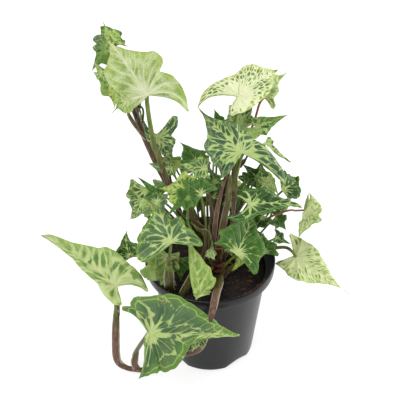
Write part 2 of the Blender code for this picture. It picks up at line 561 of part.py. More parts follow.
def make_leaf(plan):
    """A thin closed blade: rings of points round the stalk, the same on the upper and the lower face."""
    outline = blade_outline(plan, OUTLINE_STEPS)
    count = len(outline)
    flat = np.concatenate([[[0.0, 0.0]]] + [outline * ring for ring in RINGS])
    reach = np.concatenate([[0.0]] + [np.full(count, ring) for ring in RINGS])
    round_leaf = np.concatenate([[0.0]] + [np.arange(count) / count for _ in RINGS])
    from_stalk = np.linalg.norm(flat, axis=1)
    flat = set_horns(plan, flat)
    wave = WAVE * from_stalk * reach * np.sin(math.tau * WAVES_AROUND * round_leaf + plan["number"])
    half = BLADE_THICKNESS / 2 / math.cos(math.radians(plan["bend"][1]))
    upper = bend_blade(plan, flat, wave + half)
    lower = bend_blade(plan, flat, wave - half)
    triangles = blade_triangles(flat, count)
    size = len(flat)
    faces = triangles + [tuple(size + k for k in reversed(face)) for face in triangles]
    edge = size - count
    for i in range(count):
        j = (i + 1) % count
        faces += [(edge + i, size + edge + i, edge + j), (edge + j, size + edge + i, size + edge + j)]
    item = new_object(plan["name"], np.concatenate([upper, lower]), faces, plan["tone"])
    item.data.shade_smooth()
    return item


def main():
    clear_scene()
    make_pot()
    make_soil()
    make_stems()
    for plan in LEAVES:
        make_leaf(plan)


main()
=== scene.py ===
# %% [markdown]
# # An arrowhead plant in its nursery pot
#
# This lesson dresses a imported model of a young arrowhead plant: a bundle of leaf stalks, a stem that
# climbs to the left, a vine that trails over the rim, and thin black plastic around dark soil.
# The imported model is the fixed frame. Every leaf below grows at the place that the frame gives it.

# %% Load the frame
import math

import bpy
import numpy as np
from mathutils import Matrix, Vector


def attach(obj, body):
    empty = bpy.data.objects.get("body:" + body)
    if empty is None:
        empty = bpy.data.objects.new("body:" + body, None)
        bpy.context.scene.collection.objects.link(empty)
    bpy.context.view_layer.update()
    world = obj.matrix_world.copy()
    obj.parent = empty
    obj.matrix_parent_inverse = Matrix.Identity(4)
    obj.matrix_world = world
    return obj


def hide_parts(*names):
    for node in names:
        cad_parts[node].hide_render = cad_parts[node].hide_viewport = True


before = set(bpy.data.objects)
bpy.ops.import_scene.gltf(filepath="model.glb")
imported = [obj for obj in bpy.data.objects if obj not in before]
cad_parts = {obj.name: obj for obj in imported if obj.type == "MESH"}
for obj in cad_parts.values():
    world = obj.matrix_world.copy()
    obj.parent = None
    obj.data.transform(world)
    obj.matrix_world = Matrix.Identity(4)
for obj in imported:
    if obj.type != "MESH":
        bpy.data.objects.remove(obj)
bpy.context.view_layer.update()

MM = 0.001

# %% [markdown]
# ## Expressions for materials
#
# A leaf's colour is a small formula of how near a vein is, how near the margin is, and some noise.
# Wired by hand, such a formula is a tangle of Math nodes. Here a small class wraps one output of a node,
# so that the formula can be written as Python arithmetic, and the nodes are added as it is read.

# %% A wire that takes part in arithmetic
class Wire:
    """One output of a shader node. Arithmetic on it adds Math nodes to the same material."""

    def __init__(self, finish, socket):
        self.finish, self.socket = finish, socket

    def math(self, operation, *others):
        inputs = dict(enumerate((self, *others)))
        return self.finish.node("ShaderNodeMath", {"operation": operation}, inputs)

    def from_left(self, operation, other):
        return self.finish.node("ShaderNodeMath", {"operation": operation}, {0: other, 1: self})

    def __pow__(self, other):
        return self.math("POWER", other)

    def __abs__(self):
        return self.math("ABSOLUTE")

    def larger(self, other):
        return self.math("MAXIMUM", other)

    def fraction(self):
        return self.math("FRACT")


def overload(sign, operation):
    """Give Wire a Python operator and its reflected form, which runs when the wire is on the right."""
    setattr(Wire, f"__{sign}__", lambda self, other: self.math(operation, other))
    setattr(Wire, f"__r{sign}__", lambda self, other: self.from_left(operation, other))


for sign, operation in (("add", "ADD"), ("sub", "SUBTRACT"), ("mul", "MULTIPLY")):
    overload(sign, operation)


def paint(red, green, blue):
    """Turn a colour as a screen shows it, 0 to 255, into a shader's linear colour, by the sRGB formula."""
    share = np.array([red, green, blue]) / 255
    linear = np.where(share <= 0.04045, share / 12.92, ((share + 0.055) / 1.055) ** 2.4)
    return (*(float(value) for value in linear), 1.0)


class Finish:
    """A Principled material, and the few kinds of node that its formulas use."""

    def __init__(self, name, **constants):
        self.material = bpy.data.materials.new(name)
        self.material.use_nodes = True
        self.tree = self.material.node_tree
        self.shader = self.tree.nodes["Principled BSDF"]
        for socket, value in constants.items():
            self.shader.inputs[socket.replace("_", " ")].default_value = value

    def node(self, kind, settings, inputs, output=0):
        """Add a node: its settings first, then a value or a wire for each named socket."""
        node = self.tree.nodes.new(kind)
        for name, value in settings.items():
            setattr(node, name, value)
        for name, value in inputs.items():
            if isinstance(value, Wire):
                self.tree.links.new(value.socket, node.inputs[name])
            else:
                node.inputs[name].default_value = value
        return Wire(self, node.outputs[output])

    def feed(self, socket, wire):
        self.tree.links.new(wire.socket, self.shader.inputs[socket])

    def attribute(self, name):
        return self.node("ShaderNodeAttribute", {"attribute_name": name}, {}, "Fac")

    def map(self, name):
        return self.node("ShaderNodeUVMap", {"uv_map": name}, {})

    def object_place(self):
        return self.node("ShaderNodeTexCoord", {}, {}, "Object")

    def parts(self, vector):
        """The two or three numbers of a vector."""
        node = self.node("ShaderNodeSeparateXYZ", {}, {0: vector}).socket.node
        return [Wire(self, socket) for socket in node.outputs]

    def vector(self, x, y, z=0.0):
        return self.node("ShaderNodeCombineXYZ", {}, {0: x, 1: y, 2: z})

    def noise(self, place, scale, detail=2.0, rough=0.5):
        return self.node("ShaderNodeTexNoise", {}, {"Vector": place, "Scale": scale, "Detail": detail,
                                                    "Roughness": rough})

    def cell_depth(self, place):
        """How far a place lies from the edge of its cell, in cells of about one unit."""
        settings = {"voronoi_dimensions": "2D", "feature": "DISTANCE_TO_EDGE"}
        return self.node("ShaderNodeTexVoronoi", settings, {"Vector": place, "Scale": 1.0})

    def between(self, wire, low, high):
        """0 below low, 1 above high, and a smooth step from one to the other."""
        return self.node("ShaderNodeMapRange", {"interpolation_type": "SMOOTHSTEP"},
                         {"Value": wire, "From Min": low, "From Max": high})

    def stretched(self, place, factors):
        return self.node("ShaderNodeVectorMath", {"operation": "MULTIPLY"}, {0: place, 1: factors})

    def mix(self, factor, first, second):
        return self.node("ShaderNodeMix", {"data_type": "RGBA"}, {0: factor, 6: first, 7: second}, 2)

    def layers(self, wire, colour, steps):
        """Lay colours over the first one in turn, each where the wire has passed its step."""
        for step, tone in steps:
            colour = self.mix(self.between(wire, *step), colour, paint(*tone))
        return colour

    def bump(self, height, distance, strength=1.0):
        self.feed("Normal", self.node("ShaderNodeBump", {}, {"Height": height, "Distance": distance,
                                                             "Strength": strength}))


print("materials can be written as expressions")

# %% [markdown]
# ## Camera and lights
#
# The photograph looks down at the plant from about 39 degrees, from a little over a metre away, through a
# lens that is long for its frame. A big soft key light hangs over the viewer's left shoulder, and a white
# surround fills the shadows, as on a table for product pictures. A low light on the right gives the black
# pot its bright edge.

# %% Camera and light
IMAGE_PIXELS = 416
FOCAL_PIXELS = 1236.6
SENSOR_MM = 36.0
VIEW_TARGET = np.array([-1.94, 0.0, 165.75]) * MM
VIEW_DISTANCE = 1.1
VIEW_RISE = math.radians(39.2)
NEAREST_VIEW = 0.05
KEY_LIGHT = {"place": (-0.5, -0.45, 1.45), "target": (0.0, 0.0, 0.15), "size": 0.9, "power": 13.0}
EDGE_LIGHT = {"place": (0.9, 0.25, 0.35), "target": (0.0, 0.0, 0.08), "size": 0.7, "power": 6.0}
SURROUND = 0.6


def place_camera():
    """Aim the camera along +Y and down, from its distance to the point that it looks at."""
    lens = bpy.data.cameras.new("view")
    lens.sensor_width = SENSOR_MM
    lens.lens = FOCAL_PIXELS / IMAGE_PIXELS * SENSOR_MM
    lens.clip_start = NEAREST_VIEW
    camera = bpy.data.objects.new("view", lens)
    back = np.array([0.0, -math.cos(VIEW_RISE), math.sin(VIEW_RISE)])
    camera.location = VIEW_TARGET + VIEW_DISTANCE * back
    camera.rotation_euler = (math.pi / 2 - VIEW_RISE, 0.0, 0.0)
    bpy.context.scene.collection.objects.link(camera)
    bpy.context.scene.camera = camera


def place_light(name, place, target, size, power):
    """A square soft box of the given side that faces its target."""
    lamp = bpy.data.lights.new(name, "AREA")
    lamp.size = size
    lamp.energy = power
    item = bpy.data.objects.new(name, lamp)
    item.location = place
    toward = Vector(target) - Vector(place)
    item.rotation_euler = toward.to_track_quat("-Z", "Y").to_euler()
    bpy.context.scene.collection.objects.link(item)


def place_surround(strength):
    """A plain white world."""
    world = bpy.data.worlds.new("surround")
    world.use_nodes = True
    world.node_tree.nodes["Background"].inputs["Color"].default_value = (1.0, 1.0, 1.0, 1.0)
    world.node_tree.nodes["Background"].inputs["Strength"].default_value = strength
    bpy.context.scene.world = world


place_camera()
place_light("key", **KEY_LIGHT)
place_light("edge", **EDGE_LIGHT)
place_surround(SURROUND)
bpy.context.scene.view_settings.view_transform = "Standard"
print("camera", round(VIEW_DISTANCE / MM), "mm away; two soft lights and a white surround")

# %% [markdown]
# ## Turning arrays into pieces
#
# Every new piece is worked out as arrays of points and faces. One function puts such arrays into a mesh,
# with named numbers on its points, and flat maps on its face corners for the patterns that follow it.

# %% From arrays to a piece
def make_piece(name, points, faces, materials, numbers=None, maps=None):
    """Make a mesh from points in millimetres and faces as arrays of 3 or 4 corners.

    numbers: one value per point under each title. maps: two values per face corner, in the faces' order.
    """
    mesh = bpy.data.meshes.new(name)
    corners = [row for part in faces for row in part.tolist()]
    mesh.from_pydata((np.asarray(points) * MM).tolist(), [], corners)
    for title, values in (numbers or {}).items():
        attribute = mesh.attributes.new(title, "FLOAT", "POINT")
        attribute.data.foreach_set("value", np.asarray(values, np.float32))
    for title, values in (maps or {}).items():
        mesh.uv_layers.new(name=title).data.foreach_set("uv", np.asarray(values, np.float32).ravel())
    mesh.shade_smooth()
    for material in materials:
        mesh.materials.append(material)
    item = bpy.data.objects.new(name, mesh)
    bpy.context.scene.collection.objects.link(item)
    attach(item, "root")
    return item


def triangle_count(faces):
    return sum(len(part) * (part.shape[1] - 2) for part in faces)


def closed_rings(count, rings):
    """Quads between neighbouring rings of points, and triangles that close both ends.

    The points are stored one ring after the other, and then the middle of the first ring and of the last.
    """
    ring, step = np.meshgrid(np.arange(rings - 1), np.arange(count), indexing="ij")
    near, far = ring * count, (ring + 1) * count
    following = (step + 1) % count
    quads = np.stack([near + step, near + following, far + following, far + step], axis=-1).reshape(-1, 4)
    step = np.arange(count)
    following = (step + 1) % count
    top, middle = count * (rings - 1), count * rings
    caps = np.concatenate([np.stack([following, step, np.full(count, middle)], axis=1),
                           np.stack([top + step, top + following, np.full(count, middle + 1)], axis=1)])
    return [quads, caps]


# %% [markdown]
# ## The leaves, written down
#
# Each leaf is one row: its tone, where its stalk meets it, its length and half widths, its two back lobes,
# where it points, how it bends, and the points of its stalk. The sizes are in millimetres and degrees. They
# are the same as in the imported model, apart from one stalk of the climbing stem, so a detailed leaf fits
# its plain one.

# %% The table of leaves
LEAVES = {}
PALE, MIXED, DARK = "leaf_pale", "leaf_mixed", "leaf_dark"
USUAL_SHAPE = {"shoulder": 0.14, "waist": 0.15, "tail": 0.35, "horns": (25.0, 25.0)}
# How much a trait differs from leaf to leaf, and the angle that it moves on for each leaf
VARIETY = {"sweep": (0.1, 1.9), "hook": (0.12, 2.7), "cup": (0.12, 3.3)}
# The shape of a leaf that doesn't twist
STILL = {"sweep": 0, "hook": 0, "cup": 0}


def leaf(name, tone, at, blade, lobes, splay, aim, bend, route, stem, **shape):
    """Write down one leaf.

    at: where the stalk meets the blade. blade: length, half width left, half width right.
    lobes: length of the left and right back lobe. splay: how far each lobe turns out from straight back.
    aim: heading (0 is right, 90 is away), rise of the midrib, roll about the midrib.
    bend: downward arch along the midrib, upward fold across it. route: the stalk's points from its stem.
    shape: place of the shoulders, waist behind them, thin tail at the tip, sideways sweep and drop of the
    tip, raised sides, and horns: how many degrees further out the left and right lobes start than they end.
    The sweep, hook and cup differ a little from leaf to leaf, unless a row gives them.
    """
    number = len(LEAVES)
    variety = {title: most * math.sin(step * number) for title, (most, step) in VARIETY.items()}
    LEAVES[name] = dict(name=name, at=np.array(at, float), blade=blade, lobes=lobes, splay=splay, aim=aim,
                        bend=bend, tone=tone, stem=stem, route=route, number=number,
                        shape={**USUAL_SHAPE, **variety, **shape})


def grow(group, stem, rows):
    """Write down a group of leaves, numbered from 1. A row may end with its own stem and shape."""
    for number, row in enumerate(rows, 1):
        leaf(f"{group}_{number}", *row[:8], **{"stem": stem, **dict(*row[8:])})


grow("leaf_climber", "stem_climber", [
    (PALE, (-54, 25, 270), (62, 26, 25), (28, 37), (95, 36), (132, 35, -20), (16, 6),
     [(-31, 17, 158), (-37, 8, 185), (-42, 5, 208), (-48, 8, 228), (-52, 15, 250)],
     dict(STILL, waist=0.2, tail=0.1, horns=(20, 35))),
    (MIXED, (-87, 84, 282), (27, 13, 12), (16, 14), (90, 85), (112, 40, -22), (37, 20),
     [(-69, 38, 258), (-66, 54, 262), (-72, 74, 269)]),
    (DARK, (-91, 72, 283), (20, 9, 9), (11, 11), (60, 80), (-172, -39, 130), (25, 5),
     [(-72, 74, 269), (-84, 82, 276)]),
    (DARK, (-80, 52, 257), (33, 12, 12), (9, 8), (74, 82), (173, 49, 135), (20, 15), [(-67, 34, 250)]),
    (MIXED, (-69, 4, 278), (20, 9, 8), (13, 14), (91, 113), (-170, -26, -45), (37, 13),
     [(-56, 28, 222), (-61, 26, 230), (-66, 20, 242), (-70, 13, 258)]),
    (MIXED, (-65, 46, 245), (18, 6, 6), (7, 7), (60, 60), (-28, -56, -6), (20, 12), [(-60, 30, 230)]),
    (MIXED, (-46, 25, 227), (32, 12, 11), (21, 18), (70, 20), (-42, -56, 25), (29, 10),
     [(-35, 20, 166), (-37, 26, 194), (-40, 30, 212)])])
grow("leaf_crown", "stem_crown", [
    (MIXED, (27, 18, 214), (60, 25, 21), (28, 48), (74, 16), (131, 18, -11), (10, 0),
     [(4, 1, 98), (9, 0, 130), (16, 4, 170), (23, 10, 196)],
     dict(waist=0.1, tail=0.6, sweep=0, hook=0, cup=-0.05, horns=(20, 10))),
    (PALE, (25, 60, 245), (58, 20, 15), (38, 23), (27, 30), (44, 13, 22), (24, 8),
     [(3, 4, 98), (8, 14, 130), (15, 34, 170), (21, 54, 210)],
     dict(shoulder=0.42, waist=0.35, tail=0.2, sweep=0, hook=0.15, cup=0, horns=(28, -5))),
    (PALE, (50, 81, 230), (40, 12, 8), (15, 13), (30, 65), (60, 12, 46), (15, 20),
     [(5, 4, 98), (12, 14, 140), (24, 46, 180), (39, 68, 208)]),
    (PALE, (30, 72, 202), (34, 15, 15), (18, 15), (110, 87), (128, 22, -22), (25, 12),
     [(4, 6, 98), (10, 20, 135), (19, 38, 165), (24, 60, 188)]),
    (DARK, (8, 62, 213), (16, 6, 6), (8, 8), (80, 80), (104, 44, -10), (24, 9),
     [(1, 6, 98), (4, 18, 140), (6, 46, 185)]),
    (DARK, (42, 56, 215), (31, 8, 10), (13, 12), (35, 50), (10, 14, 50), (21, 7),
     [(6, 4, 98), (13, 14, 135), (26, 46, 178), (37, 56, 199)]),
    (DARK, (36, 42, 217), (14, 6, 6), (10, 10), (64, 40), (8, 4, -150), (23, 8),
     [(26, 46, 178), (33, 38, 194)]),
    (MIXED, (50, 36, 212), (29, 10, 9), (9, 9), (40, 60), (-32, -37, 17), (22, 15),
     [(6, 2, 98), (18, 10, 135), (38, 34, 172), (50, 42, 192)]),
    (MIXED, (35, 36, 166), (20, 9, 9), (11, 11), (90, 95), (60, 32, 20), (27, 10),
     [(6, 5, 98), (14, 14, 125), (26, 28, 148)]),
    (PALE, (50, 24, 177), (16, 6, 6), (7, 7), (80, 74), (-24, -38, 24), (23, 9),
     [(7, 1, 98), (16, 6, 125), (36, 18, 155)]),
    (DARK, (-12, 24, 199), (24, 11, 11), (15, 12), (110, 86), (122, 38, -20), (24, 10),
     [(-2, 2, 98), (-5, 6, 140), (-9, 15, 175)]),
    (MIXED, (-4, 12, 201), (26, 10, 10), (10, 9), (67, 82), (176, 4, -45), (20, 7),
     [(-1, -1, 98), (-2, 0, 140), (-3, 8, 178)])])
grow("leaf_right", "stem_right", [
    (DARK, (35, -8, 176), (48, 16, 14), (23, 23), (30, 22), (5, 6, 28), (21, 9),
     [(24, 5, 100), (25, 2, 130), (30, -1, 155)]),
    (DARK, (66, 25, 166), (30, 14, 13), (16, 13), (98, 72), (42, -2, 35), (29, 18),
     [(24, 7, 100), (34, 12, 130), (52, 22, 150)]),
    (PALE, (85, 10, 155), (25, 12, 11), (18, 16), (20, 55), (-94, -42, -50), (25, 30),
     [(24, 6, 100), (34, 5, 128), (48, 6, 145), (60, 8, 152), (72, 10, 155)]),
    (PALE, (79, 5, 104), (61, 17, 20), (21, 20), (45, 56), (-30, -18, 30), (18, 7),
     [(24, -6, 103), (37, 1, 106), (50, 5, 110), (61, 6, 113.5), (70, 7, 113)],
     dict(stem="stem_right_low", waist=0.1, tail=0.9, sweep=0, hook=0, cup=0.1, horns=(15, 20))),
    (DARK, (24, -32, 140), (42, 21, 22), (24, 24), (85, 66), (62, 34, 27), (34, 11),
     [(9, -20, 99), (13, -22, 116)], dict(stem="stem_trailing")),
    (DARK, (48, -15, 127), (21, 12, 12), (12, 13), (86, 77), (96, 45, -1), (22, 11),
     [(25, 4, 103), (37, -5, 114)]),
    (DARK, (60, 0, 131), (14, 6, 6), (7, 7), (40, 65), (-13, -29, 28), (24, 29),
     [(25, 5, 102), (40, 2, 118)]),
    (DARK, (60, 18, 138), (16, 8, 8), (11, 10), (88, 53), (-12, -36, 36), (25, 10),
     [(25, 6, 103), (42, 12, 120)])])
grow("leaf_left", "stem_crown", [
    (MIXED, (-34, -46, 166), (42, 25, 20), (33, 29), (80, 62), (114, 32, -15), (30, 7),
     [(-36, -44, 126), (-36, -45, 142)],
     dict(STILL, stem="stem_left", waist=0.15, tail=0.3, horns=(20, 25))),
    (PALE, (-21, -11, 193), (25, 15, 16), (13, 16), (78, 85), (162, 11, -40), (26, 10),
     [(-3, -1, 98), (-7, -3, 130), (-15, -6, 165)]),
    (DARK, (-35, 13, 201), (20, 8, 8), (8, 8), (70, 60), (-178, -2, -68), (12, 5),
     [(-4, 1, 98), (-10, 5, 130), (-24, 12, 170)]),
    (DARK, (-8, -18, 196), (27, 10, 13), (12, 14), (85, 57), (149, 25, -35), (20, 10),
     [(-9, -24, 121), (-5, -20, 135), (-4, -18, 162)], dict(stem="stem_front")),
    (DARK, (-19, -27, 199), (23, 10, 10), (10, 9), (90, 62), (-161, -16, -39), (20, 8),
     [(-2, -4, 98), (-8, -12, 130), (-19, -25, 168)]),
    (DARK, (-47, -20, 188), (16, 8, 8), (10, 11), (72, 90), (40, 30, 34), (24, 10),
     [(-4, -2, 98), (-12, -4, 130), (-24, -6, 162), (-38, -6, 182)]),
    (DARK, (-45, -6, 184), (26, 11, 11), (11, 11), (95, 90), (141, 29, -32), (20, 8),
     [(-5, 0, 98), (-14, 0, 128), (-30, -4, 162)]),
    (MIXED, (-58, 8, 181), (31, 13, 14), (12, 14), (67, 67), (-106, -58, 7), (18, 10),
     [(-5, 1, 98), (-18, 4, 128), (-42, 8, 160)]),
    (DARK, (-74, 5, 104), (26, 11, 11), (14, 15), (90, 90), (122, 40, -25), (20, 10),
     [(-33, -36, 108), (-48, -26, 115), (-64, -10, 116)], dict(stem="stem_left"))])
grow("leaf_front", "stem_left", [
    (PALE, (-8, -53, 110), (56, 7, 14), (7, 9), (75, 80), (124, 65, -12), (11, 15),
     [(9, -38, 107), (2, -40, 105)], dict(stem="stem_trailing")),
    (MIXED, (-49, -36, 113), (28, 13, 13), (9, 8), (85, 85), (89, 65, -179), (15, 8),
     [(-32, -34, 104), (-40, -32, 111)]),
    (DARK, (-26, -29, 130), (25, 8, 8), (8, 8), (80, 76), (-82, -62, 7), (15, 8),
     [(-36, -45, 136), (-32, -36, 136)]),
    (PALE, (-1, -34, 139), (13, 5, 5), (5, 5), (75, 73), (62, 41, 45), (23, 28),
     [(0, -4, 98), (-1, -14, 112), (-1, -26, 128)], dict(stem="stem_crown"))])
grow("leaf_trailing", "stem_trailing", [
    (MIXED, (-53, -78, 88), (80, 36, 35), (35, 46), (45, 80), (0, -4, 68), (5, 8),
     [(-71, -31, 4), (-71, -38, 18), (-65, -54, 46), (-58, -64, 68)],
     dict(STILL, waist=0.12, tail=0.5, horns=(25, 15))),
    (PALE, (-86, -28, 98), (90, 10, 24), (24, 31), (34, 30), (139, 14, -18), (9, 20),
     [(-86, -27, 60), (-85, -27, 82)], dict(waist=0.1, tail=0.6, sweep=0.1, hook=0, cup=0, horns=(5, 25)))])
grow("leaf_back", "stem_crown", [
    (MIXED, (-32, 46, 158), (44, 19, 19), (21, 21), (45, 45), (104, -38, 0), (20, 10),
     [(-3, 4, 98), (-10, 16, 120), (-24, 34, 142)]),
    (DARK, (4, 56, 150), (48, 17, 17), (23, 23), (45, 45), (92, -42, 0), (20, 10),
     [(0, 6, 98), (1, 22, 122), (3, 42, 138)]),
    (MIXED, (38, 52, 146), (44, 16, 17), (19, 21), (45, 45), (72, -40, 0), (20, 10),
     [(4, 6, 98), (14, 20, 118), (28, 38, 134)]),
    (PALE, (-14, 40, 178), (38, 16, 16), (18, 18), (45, 45), (98, -18, 0), (20, 10),
     [(-1, 5, 98), (-4, 12, 130), (-10, 28, 158)]),
    (DARK, (58, 40, 128), (34, 15, 15), (16, 16), (45, 45), (78, -32, 0), (20, 10),
     [(6, 4, 98), (20, 14, 108), (42, 28, 118)])])

# %% Small leaves between them
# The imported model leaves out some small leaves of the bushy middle. They fill it here.
grow("fill", "stem_crown", [
    (MIXED, (-30, 24, 193), (21, 10, 9), (9, 10), (70, 60), (158, 39, -40), (20, 8),
     [(-3, 3, 98), (-12, 10, 140), (-22, 20, 175)]),
    (DARK, (-46, 20, 217), (8, 4, 4), (4, 4), (70, 70), (123, 44, -24), (20, 8),
     [(-32, 18, 172), (-39, 17, 198)], dict(stem="stem_climber")),
    (PALE, (-51, -8, 177), (18, 8, 8), (8, 8), (80, 70), (-133, -62, -30), (20, 8),
     [(-5, -1, 98), (-22, -2, 135), (-40, -6, 165)]),
    (DARK, (42, 30, 176), (18, 8, 9), (8, 8), (60, 70), (139, 45, -38), (20, 8),
     [(6, 5, 98), (18, 16, 130), (34, 26, 160)]),
    (MIXED, (48, 26, 176), (18, 8, 8), (8, 7), (60, 60), (115, 58, -22), (20, 8),
     [(7, 4, 98), (20, 12, 130), (38, 22, 160)]),
    (PALE, (52, 22, 182), (18, 5, 5), (6, 6), (40, 50), (-46, -36, 36), (25, 12),
     [(7, 3, 98), (20, 10, 130), (40, 20, 166)]),
    (DARK, (28, 22, 161), (16, 7, 7), (7, 7), (70, 70), (132, 35, -33), (20, 8),
     [(5, 5, 98), (12, 12, 125), (22, 20, 148)]),
    (DARK, (27, -2, 147), (15, 6, 7), (7, 7), (60, 70), (-153, -13, -43), (25, 10),
     [(6, 0, 98), (14, 0, 120), (24, 0, 138)]),
    (DARK, (7, 30, 158), (16, 7, 7), (7, 7), (70, 60), (119, 40, -23), (20, 8),
     [(1, 6, 98), (3, 16, 125), (6, 26, 148)]),
    (MIXED, (-16, 4, 168), (10, 5, 5), (5, 5), (70, 60), (-143, -18, -40), (25, 10),
     [(-2, 0, 98), (-7, 2, 130), (-13, 3, 158)]),
    (DARK, (48, 6, 150), (18, 8, 8), (8, 8), (60, 60), (-148, -33, -39), (25, 10),
     [(25, 5, 100), (34, 5, 125), (44, 6, 142)], dict(stem="stem_right")),
    (DARK, (16, -20, 138), (13, 5, 5), (6, 6), (50, 60), (-59, -58, 24), (20, 10),
     [(4, -5, 98), (8, -12, 118), (14, -18, 132)]),
    (MIXED, (29, -24, 130), (19, 5, 5), (7, 7), (50, 50), (-129, -47, -27), (25, 10),
     [(10, -20, 99), (16, -22, 112), (25, -24, 124)], dict(stem="stem_trailing")),
    (PALE, (-38, -26, 132), (32, 14, 14), (14, 14), (60, 60), (-118, -60, -10), (16, 8),
     [(-32, -34, 104), (-36, -28, 118)], dict(stem="stem_left")),
    (DARK, (-9, -70, 73), (18, 8, 8), (8, 9), (70, 80), (-170, -50, -50), (25, 10),
     [(-3, -67, 80)], dict(stem="stem_trailing")),
    (DARK, (54, 20, 153), (15, 7, 7), (7, 7), (60, 70), (132, 46, -34), (20, 8),
     [(25, 7, 100), (36, 12, 125), (48, 18, 142)], dict(stem="stem_right")),
    (DARK, (16, 40, 200), (16, 7, 7), (7, 8), (70, 60), (139, 21, -40), (20, 8),
     [(2, 6, 98), (8, 20, 140), (14, 36, 180)]),
    (DARK, (-26, -10, 153), (15, 7, 6), (7, 7), (70, 60), (141, 30, -36), (20, 8),
     [(-3, -2, 98), (-10, -5, 122), (-21, -9, 142)]),
    (MIXED, (3, 40, 217), (11, 3, 3), (4, 4), (60, 60), (128, 40, -30), (20, 8),
     [(0, 6, 98), (1, 18, 140), (3, 34, 195)]),
    (DARK, (60, 24, 150), (14, 6, 6), (6, 7), (60, 60), (25, 4, 46), (20, 8),
     [(25, 7, 100), (40, 14, 125), (54, 22, 142)], dict(stem="stem_right")),
    (MIXED, (32, -6, 138), (14, 6, 6), (6, 7), (70, 60), (41, 31, 34), (20, 8),
     [(24, 5, 101), (26, 0, 118), (30, -4, 130)], dict(stem="stem_right")),
    (MIXED, (-60, -4, 178), (25, 9, 10), (9, 8), (70, 60), (-122, -48, -28), (26, 10),
     [(-5, 0, 98), (-26, -1, 132), (-50, -2, 160)]),
    (DARK, (-5.5, 14, 158), (17, 7, 7), (8, 7), (70, 60), (128, 40, -28), (20, 8),
     [(-2, 4, 98), (-4, 9, 125), (-5, 13, 148)]),
    (DARK, (3.5, 18, 164), (17, 7, 7), (7, 8), (60, 70), (60, 42, 25), (20, 8),
     [(1, 6, 98), (2, 12, 130), (3, 17, 155)]),
    (DARK, (-13, 12, 171), (14, 7, 6), (7, 7), (70, 60), (140, 35, -35), (20, 8),
     [(-3, 4, 98), (-8, 8, 130), (-12, 11, 160)]),
    (DARK, (4, 22, 177), (16, 7, 7), (7, 7), (60, 70), (110, 45, -15), (20, 8),
     [(1, 6, 98), (2, 14, 140), (4, 21, 168)]),
    (DARK, (19, 16, 156), (16, 7, 7), (8, 7), (60, 60), (45, 35, 32), (20, 8),
     [(5, 5, 98), (12, 10, 125), (18, 15, 146)]),
    (DARK, (28, 18, 167), (16, 7, 6), (7, 7), (60, 60), (60, 40, 25), (20, 8),
     [(6, 5, 98), (16, 12, 130), (26, 17, 157)]),
    (DARK, (-20, 0, 156), (14, 6, 7), (7, 7), (60, 70), (60, 40, 20), (20, 8),
     [(-3, 0, 98), (-10, 0, 125), (-18, 0, 146)]),
    (MIXED, (-88, 82, 294), (12, 4, 3), (4, 4), (60, 60), (136, 37, -35), (30, 12),
     [(-69, 38, 258), (-74, 62, 272)], dict(stem="stem_climber")),
    (MIXED, (-86, 78, 296), (17, 6, 7), (6, 6), (60, 60), (-41, -31, 38), (35, 10),
     [(-69, 38, 258), (-76, 60, 274)], dict(stem="stem_climber")),
    (PALE, (-87, 62, 291), (12, 5, 4), (4, 4), (60, 60), (67, 40, 24), (30, 12),
     [(-69, 38, 258), (-77, 52, 272)], dict(stem="stem_climber")),
    (DARK, (-95, 46, 278), (19, 5, 5), (5, 5), (50, 50), (-42, -36, 35), (30, 12),
     [(-70, 36, 258), (-82, 44, 264)], dict(stem="stem_climber")),
    (PALE, (-79, 14, 279), (13, 6, 6), (6, 7), (70, 60), (-126, -50, -33), (30, 12),
     [(-61, 26, 230), (-70, 16, 258)], dict(stem="stem_climber")),
    (MIXED, (-66, 40, 257), (9, 5, 5), (5, 5), (70, 60), (-30, -30, 40), (30, 12),
     [(-62, 33, 240)], dict(stem="stem_climber"))])

print(len(LEAVES), "leaves in the table")

# %% [markdown]
# ## The outline and the bend of a blade
#
# An arrowhead blade starts at its stalk. The front runs out to a drawn-out point, and two lobes run back.
# Half of the outline is three smooth curves: tip to shoulder, shoulder to lobe end, lobe end to the notch.
# Near the stalk the lobes are turned outwards, so that they curve back like horns. The flat shape is then
# bent: up on both sides of the midrib, down towards the tip, and down at the lobes.

# %% Blade shapes
OUTLINE_STEPS = (5, 4, 3)
LOBE_DROOP = 20.0
LEAST_ARCH = 1.0
SHOULDER_LEAD = 20.0
SINUS = 0.03
SINUS_LEAST = 1.8
MIDRIB_SOFTNESS = 0.1
WAVE = 0.04
WAVES_AROUND = 7

# Handles of the outline's curves, as shares of the blade's sizes, and angles in degrees
TIP_HANDLE = (0.8, 0.1)
TAIL_PULL = (0.3, 0.08)
SIDE_LEAD = 0.3
WAIST_TURN = 0.4
LOBE_TURN = (0.3, 25.0)
LOBE_FULLNESS = 0.8
INNER_HANDLE = (0.97, 0.66)
NOTCH_HANDLE = (0.4, 0.45)
HOOK_START = 0.55
HORN_START = 8.0
HORN_FADE = 100.0


def bezier(start, handle, other_handle, stop, count):
    """Points on a cubic curve, without its last one."""
    t = np.arange(count)[:, None] / count
    return ((1 - t)**3 * start + 3 * t * (1 - t)**2 * handle + 3 * t**2 * (1 - t) * other_handle
            + t**3 * stop)


def behind(reach, degrees):
    """The flat point at a distance from the stalk, turned out from straight back by an angle."""
    turn = math.radians(degrees)
    return np.array([-reach * math.cos(turn), reach * math.sin(turn)])


def notch(length):
    """The flat point where the two back lobes part, just behind the stalk."""
    return np.array([-max(SINUS * length, SINUS_LEAST), 0.0])


